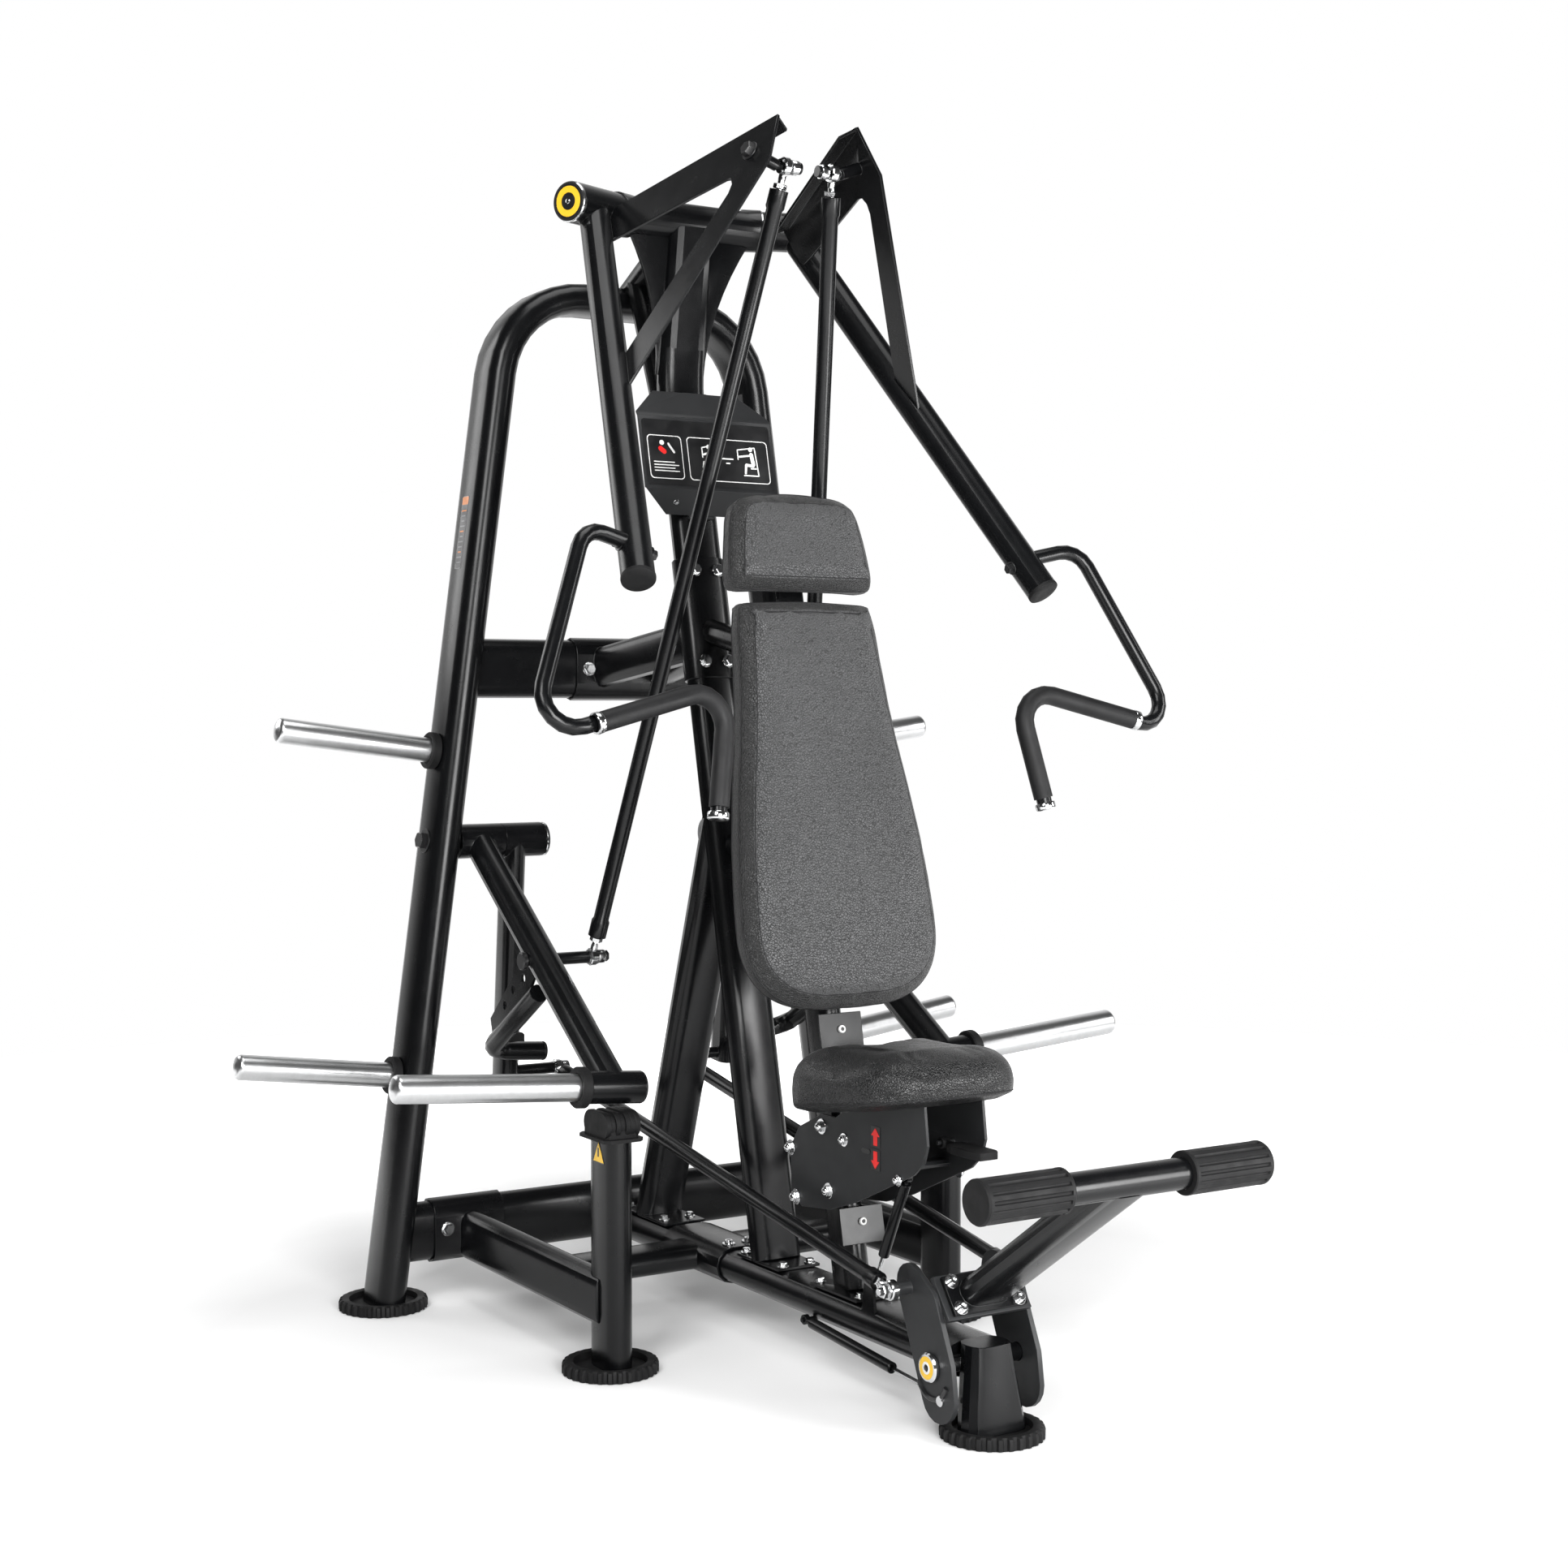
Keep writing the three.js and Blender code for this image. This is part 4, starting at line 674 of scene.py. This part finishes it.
PIN_BORE = 6.4                                        # radius of the spacers' holes
for side, side_name in SIDES:
    out = RIGHT * side
    press, weight, lever = f"{side_name}_press", f"{side_name}_weight", f"{side_name}_lever"
    link(f"{side_name}_tie_rod", f"{side_name}_rod", on_side(side, ROD_TOP), on_side(side, ROD_LOW), 15, 42,
         (12.0, 7.8), 32)
    link(f"{side_name}_pedal_link", f"{side_name}_link", on_side(side, LINK_REAR), on_side(side, LINK_FRONT), 14, 36,
         (7.8, 10.0), 26)
    # bright nuts and spacers on the four pivot pins of this side; the press arm's pin tilts in its eye, so its
    # spacers are cones (lip is their small radius) that stand further off
    pins = ((press, ROD_TOP, 9.4, 8.8), (weight, ROD_LOW, 7.6, 15.0), (lever, LINK_REAR, 7.6, 15.0))
    for body, spot, start, lip in pins:
        pin = on_side(side, spot)
        bright = group(body, "chrome")
        ring_solid(bright, [(PIN_BORE, start), (lip, start), (max(lip, 13.0), start + 2.4), (PIN_BORE, start + 2.4)],
                   pin, -out, 32)
        lathe(bright, [(13.0, start + 2.6), (13.4, start + 3.6), (13.4, start + 16.2), (12.2, start + 17.8),
                       (7.0, start + 17.8), (6.8, start + 12.0)], pin, -out, 32)
        ring_solid(bright, [(PIN_BORE, start + 0.2), (min(lip, 12.6), start + 0.2), (13.2, start + 2.2),
                            (PIN_BORE, start + 2.2)], pin, out, 32)
    pin = on_side(side, LINK_FRONT)
    bright = group("pedal", "chrome")
    ring_solid(bright, [(7.2, 7.8), (14.5, 7.8), (14.5, 10.0), (7.2, 10.0)], pin, out, 32)
    lathe(bright, [(12.5, 10.2), (12.5, 19.0), (11.0, 20.5)], pin, out, 6)
    lathe(bright, [(6.6, 18), (6.6, 25.5), (5.8, 26.6)], pin, out, 20)
    # black stud head on the outer side of the weight arm
    head = at(side * 368, ROD_LOW[1], ROD_LOW[2])
    stud = [(11.0, 0), (11.0, 14), (16.0, 14.2), (17.0, 15.4), (17.0, 23.0), (15.0, 25.0)]
    lathe(group(weight, "label_black"), stud, head, out, 36)


# ---- Bolts ----
for side, side_name in SIDES:
    # head of the hub shaft's bolt on the outer face of the arch leg
    face_out = leg_out(side)
    place = at(side * leg_x(PIVOT_Z), ARCH_Y, PIVOT_Z) + face_out * 0.0302
    hex_head(group("frame", "label_black"), place, face_out, 30, 14, 24)
    # upper cross beam and rear base beam
    for x, z in ((104, 1276), (425, 150)):
        hex_head(group("frame", "chrome"), at(side * x, ARCH_Y - 35.2, z), FRONT, 19, 9, 14)
    # tie sleeve on the main beam, saddles on its top
    socket_head(group("frame", "chrome"), at(side * 22, 300, 155.2), UP, 8, 6, 13)
    for y in (88, 219, 545, 690, -172, -40):
        hex_head(group("frame", "chrome"), at(side * 30, y, BEAM_TOP + 0.2), UP, 13, 7, 11)
    # sleeve between mast and upright
    for z in (1282, 1462):
        y = 161 + MAST_LEAN * (z - BEAM_TOP)
        hex_head(group("frame", "chrome"), at(side * 26, y - 30.4, z + 6.6), MAST_OUT, 17, 8, 13)
    # press arm: black bolt through the arm, and the bolt at the bracket's top corner
    press = f"{side_name}_press"
    arm_top, arm_end = hub_point(side, ARM_START), on_side(side, ARM_END)
    spot = arm_top.lerp(arm_end, 0.93)
    across = (arm_end - arm_top).normalized().cross(REAR).normalized()
    if across.x * side > 0:
        across = -across
    for away in (across, -across):
        hex_head(group(press, "label_black"), spot + away * 0.0296, away, 17, 10, 13)
    face = Vector((side * 0.906, -0.136, 0.4)).normalized()
    stud = at(side * 84, 14, 2259) + Vector((-side * 0.243, -0.94, 0.229)).normalized() * -0.060
    stud += Vector((side * 0.345, -0.305, -0.885)).normalized() * 0.055
    hex_head(group(press, "label_black"), stud + face * 0.0032, face, 24, 12, 18)
    # assist lever: screw in the rubber block
    lever = f"{side_name}_lever"
    rub = at(side * 262, 757, 505)
    slab(group(lever, "rubber"), rub + FRONT * 0.004, RIGHT, UP, 17, 25, 14, 4)
    socket_head(group(lever, "chrome"), rub + FRONT * 0.011, FRONT, 6, 4)
    # stop tube end cap on the weight arm
    lathe(group(f"{side_name}_weight", "rubber"), [(18.0, -4), (19.4, 0), (18.4, 2.6), (8, 3.2)],
          at(side * 231, 690, 499), Vector((-side, 0, -0.07)), 32)
    # cap on the horn hub's inner end
    lathe(group(f"{side_name}_weight", "label_black"), [(29.6, -2), (29.8, 0), (28.6, 2.6), (14, 3.2)],
          on_side(side, HORN_ROOT), Vector((-side, 0, -HORN_RISE)), 40)

# pedal cross plate: four socket screws
slope = Vector((0, 27, 37)).normalized()
slope_out = Vector((0, -37, 27)).normalized()
base = at(0, -486, 230) + slope_out * 0.0133
for x, up in ((-59, -23), (59, -23), (-59, 23), (59, 23)):
    socket_head(group("pedal", "chrome"), base + RIGHT * x / 1000 + slope * up / 1000, slope_out, 8, 8, 12.5)
# pin in the slot of the pedal's lower lobe, and the crescent slot drawn as a black cord: painted shade for the slot's
# dark inside
for side in (-1, 1):
    lathe(group("pedal", "chrome"), [(9.0, 0), (9.0, 4.2), (7.6, 5.4)], at(side * 93, -503, 69), RIGHT * side, 28)
    arc = []
    for i in range(13):
        a = math.radians(200 + i * 11)
        arc.append(at(side * 93.2, -478 + 42 * math.cos(a), 108 + 42 * math.sin(a)))
    # black cord along the slot: painted shade
    tube(group("pedal", "label_black"), arc, 5.0, 10)

# seat post stops: white socket screws; a black hex in each socket is painted shade for the socket's dark hollow
for z in (606, 270):
    place = at(0, seat_post_y(z), z) + POST_OUT * 0.0562
    socket_head(group("frame", "label_white"), place, POST_OUT, 7, 5)
    # black hex in the socket: painted shade
    lathe(group("frame", "label_black"), [(3.4, 4.0), (3.4, 5.4), (2.6, 5.8)], place, POST_OUT, 6)
# seat carriage: acorn nuts, small bolts, and on each plate a thin black sheet that paints the shade inside a long slot
PLATE_X = 63
for side in (-1, 1):
    out = RIGHT * side
    bright = group("seat", "chrome")
    for z, ahead in ((409, -56), (322, -56), (441, 56), (330, 56)):
        dome_nut(bright, at(side * PLATE_X, seat_post_y(z), z) + POST_OUT * ahead / 1000, out, 17, 12, 14)
    dome_nut(bright, at(side * PLATE_X, -170, 440), out, 15, 10, 12)
    dome_nut(bright, at(side * PLATE_X, -336, 398), out, 13, 9, 10)
    # black sheet on the plate: painted shade for the inside of the slot
    slab(group("seat", "label_black"), at(side * 63.3, -238, 432), REAR, UP, 14, 4.5, 0.8, 4)


# ---- Labels ----
def arrow(bm, centre, u, w, size, slim, thick=0.7):
    """An arrow along w, size millimetres long; slim scales its width."""
    shape = [(-0.20, -0.5), (0.20, -0.5), (0.20, 0.06), (0.45, 0.06), (0, 0.5), (-0.45, 0.06), (-0.20, 0.06)]
    loft(bm, [(x * size * slim, y * size) for x, y in shape], thick, centre, u, w)


def frame_outline(bm, centre, u, w, half_u, half_w, radius, line, thick=0.5):
    """A rounded rectangle drawn as a raised line."""
    n = u.cross(w).normalized()
    points = []
    for cx, cy, start in ((1, 1, 0), (-1, 1, 90), (-1, -1, 180), (1, -1, 270)):
        for i in range(7):
            a = math.radians(start + i * 15)
            x, y = radius * math.cos(a), radius * math.sin(a)
            points.append((cx * (half_u - radius) + x, cy * (half_w - radius) + y))
    inner = [(x * (half_u - line) / half_u, y * (half_w - line) / half_w) for x, y in points]
    rings = []
    for outline, k in ((points, 0), (points, 1), (inner, 1), (inner, 0)):
        rings.append([centre + u * x / 1000 + w * y / 1000 + n * k * thick / 1000 for x, y in outline])
    add_rings(bm, rings, closed=True)


# labels on faces that look to the left: FRONT is to their right, UP is up
for z, flip in ((461, 1), (421, -1)):
    place = at(-63.6, -268, z)
    slab(group("seat", "label_black"), place, FRONT, UP, 14, 18, 0.6)
    arrow(group("seat", "red"), place - RIGHT * 0.0007, FRONT * flip, UP * flip, 30, 0.9)

# warning triangle on the outer face of the left post
TRIANGLE = [(-22, -19), (22, -19), (0, 21)]
post_face = at(-POST_X - 25.5, 133, 401)
loft(group("frame", "label_black"), TRIANGLE, 0.6, post_face, FRONT, UP)
inner = [(x * 0.86, y * 0.86 - 0.5) for x, y in TRIANGLE]
loft(group("frame", "yellow"), inner, 0.6, post_face - RIGHT * 0.0006, FRONT, UP)
slab(group("frame", "label_black"), post_face + Vector((-0.0012, 0, 0.0005)), FRONT, UP, 2.4, 8.0, 0.5)

# plain label on the arch leg's outer face
LABEL_Z = 1545
face_out = leg_out(-1)
leg_up = Vector((0.134, 0, 0.991)).normalized()
label = at(-leg_x(LABEL_Z), ARCH_Y, LABEL_Z) + face_out * LEG_HALF
slab(group("frame", "label_grey"), label, FRONT, leg_up, 15, 74, 0.5, 3)
slab(group("frame", "label_black"), label + face_out * 0.0003 - leg_up * 0.008, FRONT, leg_up, 14, 64, 0.5, 2)
slab(group("frame", "label_orange"), label + face_out * 0.0003 + leg_up * 0.0645, FRONT, leg_up, 14, 8, 0.5, 2)
for k in range(11):
    row = label + face_out * 0.0005 + leg_up * (0.044 - k * 0.0105)
    colour = "label_grey" if k % 4 else "label_orange"
    slab(group("frame", colour), row, FRONT, leg_up, 11 - 2 * (k % 3), 1.4, 0.5, 0.6)

# placard: black field with white rounded outlines and plain pictograms
board = at(0, 413, 1693) + MAST_OUT * 0.0018
slab(group("frame", "label_black"), board, RIGHT, MAST_UP, 144, 66, 0.7, 4)
ink = group("frame", "label_white")


def on_board(x, y):
    """A point on the placard's face, in millimetres from its middle."""
    return board + MAST_OUT * 0.0004 + (RIGHT * x + MAST_UP * y) / 1000


for x, half in ((-98, 38), (44, 92)):
    frame_outline(ink, on_board(x, -10), RIGHT, MAST_UP, half, 44, 8, 1.6)


def stroke(bm, centre, start, end, half):
    """A straight bar on the board between two points given in millimetres from centre."""
    (x0, y0), (x1, y1) = start, end
    run = RIGHT * (x1 - x0) + MAST_UP * (y1 - y0)
    middle = centre + (RIGHT * (x0 + x1) + MAST_UP * (y0 + y1)) / 2000
    long = run.normalized()
    slab(bm, middle, long, MAST_OUT.cross(long), run.length / 2 + half * 0.6, half, 0.7, half * 0.6)


def figure(centre, hands):
    """A plain seated person beside the bars of a machine; hands is how far the arms reach forward."""
    lathe(ink, [(4.6, 0), (4.6, 0.6)], centre + (RIGHT * 4 + MAST_UP * 26) / 1000, MAST_OUT, 20)
    person = (((5, 17), (8, -6), 4.2), ((8, -8), (-9, -6), 3.0), ((-9, -6), (-12, -24), 2.4),
              ((5, 14), (-hands, 10), 1.9))
    machine = (((14, 30), (18, -28), 1.3), ((18, -28), (-16, -28), 1.3), ((14, 30), (-hands - 2, 24), 1.2),
               ((-hands - 2, 24), (-hands - 2, 4), 1.2), ((2, -13), (14, -13), 1.4))
    for start, end, half in person + machine:
        stroke(ink, centre, start, end, half)


figure(on_board(-4, -10), 9)
figure(on_board(92, -10), 24)
# marks between the figures, and the picture with its lines of writing on the left
for k, reach in enumerate((12, 4)):
    stroke(ink, on_board(42, -10), (-reach, 4 - 9 * k), (reach, 4 - 9 * k), 1.4)
for k in range(4):
    stroke(ink, on_board(-98, -30), (-27, -8 + 6 * k), (27 - 9 * (k % 2), -8 + 6 * k), 1.0)
lathe(ink, [(5.0, 0), (5.0, 0.6)], on_board(-104, 19), MAST_OUT, 20)
stroke(group("frame", "red"), on_board(-104, 2), (-5, 6), (5, -2), 5.0)
stroke(ink, on_board(-98, 6), (8, 12), (20, -6), 2.2)
for x in (-70.8, 70.8):
    hex_head(group("frame", "chrome"), at(x, 418, 1600), Vector((0, -0.74, -0.67)), 8, 4, 6)

for (body, material), bm in GROUPS.items():
    finish_mesh(f"fittings_{body}_{material}", bm, material, body)


# ---- Cushions ----
def resample(points, step):
    """Points every step millimetres round a closed outline."""
    out = []
    count = len(points)
    for i in range(count):
        a, b = points[i], points[(i + 1) % count]
        pieces = max(1, round((b - a).length / step))
        out += [a.lerp(b, k / pieces) for k in range(pieces)]
    return out


def inset(points, amount):
    """The outline moved inward by amount millimetres; it runs anticlockwise."""
    moved = []
    count = len(points)
    for i, p in enumerate(points):
        a = (p - points[i - 1]).normalized()
        b = (points[(i + 1) % count] - p).normalized()
        normal = Vector((-(a.y + b.y), a.x + b.x)).normalized()
        moved.append(p + normal * amount)
    return moved


VOXEL, CAP, PRESSURE = 5.0, 4.0, 4.0                  # millimetres, millimetres, cloth pressure
CLOTH_FRAMES = 14


def cushion(name, cad_node, material, rings, body):
    """rings run from the back to the front. Remeshed, blown up a little as cloth, then smoothed."""
    bm = bmesh.new()
    add_rings(bm, rings)
    piece = finish_mesh(name, bm, material, body, 180.0)
    bpy.context.view_layer.objects.active = piece
    piece.data.remesh_voxel_size = VOXEL / 1000
    with bpy.context.temp_override(active_object=piece, object=piece, selected_objects=[piece]):
        bpy.ops.object.voxel_remesh()
    rest = [v.co.copy() for v in piece.data.vertices]
    cloth = piece.modifiers.new("fill", "CLOTH")
    settings = cloth.settings
    settings.quality = 4
    settings.use_pressure = True
    settings.uniform_pressure_force = PRESSURE
    settings.tension_stiffness = 18
    settings.compression_stiffness = 18
    settings.shear_stiffness = 8
    settings.bending_stiffness = 2.0
    settings.effector_weights.gravity = 0
    settings.use_internal_springs = False
    cloth.collision_settings.use_collision = False
    cloth.collision_settings.use_self_collision = False
    scene = bpy.context.scene
    for number in range(1, CLOTH_FRAMES + 1):
        scene.frame_set(number)
    graph = bpy.context.evaluated_depsgraph_get()
    blown = [v.co.copy() for v in piece.evaluated_get(graph).data.vertices]
    scene.frame_set(1)
    piece.modifiers.remove(cloth)
    for vertex, before, after in zip(piece.data.vertices, rest, blown):
        step = after - before
        if step.length > CAP / 1000:
            step = step.normalized() * CAP / 1000
        vertex.co = before + step
    smooth = piece.modifiers.new("relax", "SMOOTH")
    smooth.iterations = 4
    smooth.factor = 0.5
    finer = piece.modifiers.new("finer", "SUBSURF")
    finer.levels = 1
    finer.render_levels = 1
    piece.data.shade_smooth()
    graph = bpy.context.evaluated_depsgraph_get()
    done = bpy.data.meshes.new_from_object(piece.evaluated_get(graph))
    piece.modifiers.clear()
    piece.data = done
    done.shade_smooth()
    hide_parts(cad_node)
    return piece


def seam(name, piece, ring, body, radius=1.3, lift=0.2):
    """A sewn seam: a fine cord lying on the cushion along the ring of points."""
    mesh = piece.data
    tree = BVHTree.FromPolygons([v.co for v in mesh.vertices], [p.vertices for p in mesh.polygons])
    points = []
    for p in ring:
        found, normal, _, _ = tree.find_nearest(p)
        points.append(found + normal * lift / 1000)
    points = relax_loop(points)
    bm = bmesh.new()
    tube(bm, points, radius, 8, closed=True)
    finish_mesh(name, bm, "seam", body, 60.0)


def relax_loop(points):
    count = len(points)
    for _ in range(2):
        points = [(points[i - 1] + points[i] * 2 + points[(i + 1) % count]) / 4 for i in range(count)]
    return points


def pad(name, outline, middle, layers, edge_inset):
    """A back pad and its three seams; layers are (how far inside the outline, how far out), from back to front."""
    def ring(amount, out):
        points = inset(outline, amount)
        return [middle + RIGHT * p.x / 1000 + PAD_UP * p.y / 1000 + PAD_OUT * out / 1000 for p in points]

    piece = cushion(name + "_cushion", name, "pad_vinyl", [ring(*layer) for layer in layers], "frame")
    seam(name + "_seam_edge", piece, ring(edge_inset, 31), "frame", 1.1, -0.3)
    seam(name + "_seam_front", piece, ring(1, 6), "frame")
    seam(name + "_seam_back", piece, ring(0.5, -20), "frame")


def rise(z):
    """Distance up the pads from the backrest's middle."""
    return (z - 1341) / PAD_UP.z


def backrest_outline():
    half = [(1387, 141), (1341, 151), (1278, 156), (1203, 163), (1128, 173), (1065, 184), (1002, 193), (950, 200),
            (897, 204), (840, 208), (790, 209)]
    right = [Vector((x, rise(z))) for z, x in half]
    low_z, low_half, bottom_z = 790, 209, 657
    for i in range(1, 11):
        a = i / 10 * math.pi / 2
        x = low_half * math.cos(a) ** 0.62 if i < 10 else 0.0
        right.append(Vector((x, rise(low_z - (low_z - bottom_z) * math.sin(a)))))
    left = [Vector((-p.x, p.y)) for p in reversed(right[:-1])]
    # anticlockwise seen from the front
    outline = list(reversed(right)) + [Vector((0, rise(1389)))] + list(reversed(left))
    return resample(outline, OUTLINE_STEP)


OUTLINE_STEP = 9
LAYERS = ((17, -34), (6, -31), (1, -24), (0, -12), (0, 3), (2, 7), (12, 18), (22, 29), (25, 31.5), (34, 33.5), (50, 36))
HEAD_LAYERS = ((14, -34), (5, -31), (1, -24), (0, -12), (0, 3), (2, 7), (10, 18), (18, 29), (21, 31.5), (28, 33.5),
               (40, 36))


def headrest_outline():
    half = [(0, 146), (10, 153), (30, 155), (90, 147), (140, 138), (160, 129), (172, 112), (179, 84), (181, 40)]
    right = [Vector((x, y)) for y, x in half]
    left = [Vector((-p.x, p.y)) for p in reversed(right)]
    return resample(right + left, OUTLINE_STEP)


pad("backrest", backrest_outline(), PAD_MID, LAYERS, 23)
pad("headrest", headrest_outline(), PAD_MID + PAD_UP * rise(1412) / 1000, HEAD_LAYERS, 19)


# Seat: a saddle with two raised rear lobes and a dropped middle.
SEAT_DEPTH, SEAT_HALF = 328, 162


def seat_outline():
    tail = [(0, 112), (7, 136), (26, 155), (62, 162), (150, 162)]
    nose = [(110, 160), (70, 153), (38, 138), (14, 112), (2, 76), (0, 36)]
    right = [Vector((x, y)) for y, x in tail] + [Vector((x, SEAT_DEPTH - y)) for y, x in nose]
    left = [Vector((-p.x, p.y)) for p in reversed(right)]
    return relax_loop(relax_loop(resample(right + left, OUTLINE_STEP)))


SEAT_LONG = Vector((0, -1, 0.07)).normalized()
SEAT_UP = SEAT_LONG.cross(RIGHT).normalized()
SEAT_BASE = at(0, -108, 562)
seat_ring = seat_outline()


def seat_point(p, out):
    """A point of the seat's skin: lobes beside a groove at the tail, a dip behind the nose, a dropped nose."""
    along = p.y / SEAT_DEPTH
    across = abs(p.x) / SEAT_HALF
    lift = max(0.0, (out + 8) / 49)
    dip = 9 * math.exp(-(((along - 0.50) / 0.26) ** 2)) * (1 - 0.5 * across ** 2)
    nose = 12 * max(0.0, (along - 0.74) / 0.26) ** 1.6
    painted_groove_shade = 9 * math.exp(-((p.x / 24) ** 2)) * max(0.0, 1 - along * 2.2)
    horn = 5 * math.exp(-((p.x / 40) ** 2)) * max(0.0, along - 0.35)
    back = 26 * lift * max(0.0, 1 - p.y / 90)
    deeper = 1.06 + 0.72 * (1 - along) if out < 0 else 1.0
    high = out * deeper - lift * (dip + nose + painted_groove_shade - horn)
    return SEAT_BASE + RIGHT * p.x / 1000 + SEAT_LONG * (p.y + back) / 1000 + SEAT_UP * high / 1000


SEAT_LAYERS = ((9, -41), (2, -39), (0, -34), (0, -20), (3, -6), (8, 6), (16, 17), (27, 26), (40, 32.5), (56, 37),
               (76, 39.6), (100, 40.8))
rings = [[seat_point(p, out) for p in inset(seat_ring, amount)] for amount, out in SEAT_LAYERS]
seat = cushion("seat_cushion", "seat_pad", "seat_leather", rings, "seat")
seam("seat_seam", seat, [seat_point(p, -34) for p in inset(seat_ring, 0.5)], "seat")


# ---- Floor, light and camera ----
BACKDROP = Vector((0.53, 0.85, 0.0)).normalized()     # the way to the white end of the studio
FLOOR_RADIUS, GLOW_FROM, GLOW_FULL = 4.5, 1.2, 3.0    # metres


def stage_floor():
    """A round sheet of pale paper that turns into a white glow towards its rim, so that it ends in white."""
    bm = bmesh.new()
    bmesh.ops.create_circle(bm, cap_ends=True, segments=96, radius=FLOOR_RADIUS)
    mesh = bpy.data.meshes.new("floor")
    bm.to_mesh(mesh)
    bm.free()
    floor = bpy.data.objects.new("floor", mesh)
    floor.location.z = -0.0006
    bpy.context.scene.collection.objects.link(floor)
    material, tree, shader = new_material("floor_paper", Roughness=0.9)
    shader.inputs["Base Color"].default_value = (0.80, 0.80, 0.80, 1)
    coords = object_coords(tree)
    length = node(tree, "ShaderNodeVectorMath", operation="LENGTH")
    tree.links.new(coords, length.inputs[0])
    glow = node(tree, "ShaderNodeMapRange")
    glow.inputs["From Min"].default_value, glow.inputs["From Max"].default_value = GLOW_FROM, GLOW_FULL
    tree.links.new(length.outputs["Value"], glow.inputs["Value"])
    shader.inputs["Emission Color"].default_value = (1, 1, 1, 1)
    tree.links.new(glow.outputs["Result"], shader.inputs["Emission Strength"])
    mesh.materials.append(material)


def studio_world():
    """A dim studio, lit white at one end; the camera sees plain white all round."""
    world = bpy.data.worlds.new("studio")
    bpy.context.scene.world = world
    world.use_nodes = True
    tree = world.node_tree
    coords = node(tree, "ShaderNodeTexCoord")
    facing = node(tree, "ShaderNodeVectorMath", operation="DOT_PRODUCT")
    tree.links.new(coords.outputs["Generated"], facing.inputs[0])
    facing.inputs[1].default_value = BACKDROP
    shade = ramp(tree, facing.outputs["Value"], [(0.40, 0.05), (0.82, 1.0)])
    ray = node(tree, "ShaderNodeLightPath")
    seen = mix_colour(tree, ray.outputs["Is Camera Ray"], shade, (1, 1, 1))
    tree.links.new(seen, tree.nodes["Background"].inputs["Color"])
    tree.nodes["Background"].inputs["Strength"].default_value = 1.0


def area_light(name, place, aim, size, energy, size_y=None):
    data = bpy.data.lights.new(name, "AREA")
    data.shape = "RECTANGLE"
    data.size = size
    data.size_y = size_y or size
    data.energy = energy
    lamp = bpy.data.objects.new(name, data)
    lamp.location = place
    lamp.rotation_euler = (Vector(aim) - Vector(place)).to_track_quat("-Z", "Y").to_euler()
    bpy.context.scene.collection.objects.link(lamp)


stage_floor()
studio_world()
area_light("key", (-3.4, -2.4, 3.4), (0, 0, 1.1), 1.5, 180, 2.6)
area_light("side", (4.6, -2.8, 2.2), (0, 0, 1.0), 1.2, 130, 2.8)
area_light("front", (-1.2, -5.0, 1.7), (0, 0, 1.0), 2.2, 360, 2.2)
area_light("low", (1.3, -2.8, 0.8), (0, -0.6, 0.3), 1.0, 70)
area_light("rim", (-2.2, 3.6, 3.0), (0, 0, 1.2), 1.6, 50, 2.4)
area_light("top", (0, -0.2, 4.8), (0, 0, 0), 2.2, 70)

# fitted to the photograph
LENS, CAMERA_SPOT = 52.36, (-2255, -3491, 1208)
LOOK_DOWN, LOOK_RIGHT = 2.06, 31.9
camera_data = bpy.data.cameras.new("camera")
camera_data.lens = LENS
camera_data.sensor_width = 36.0
camera_data.clip_end = 60
camera = bpy.data.objects.new("camera", camera_data)
camera.location = at(*CAMERA_SPOT)
camera.rotation_euler = (math.radians(90 - LOOK_DOWN), 0, math.radians(-LOOK_RIGHT))
bpy.context.scene.collection.objects.link(camera)
bpy.context.scene.camera = camera
bpy.context.scene.view_settings.view_transform = "Standard"
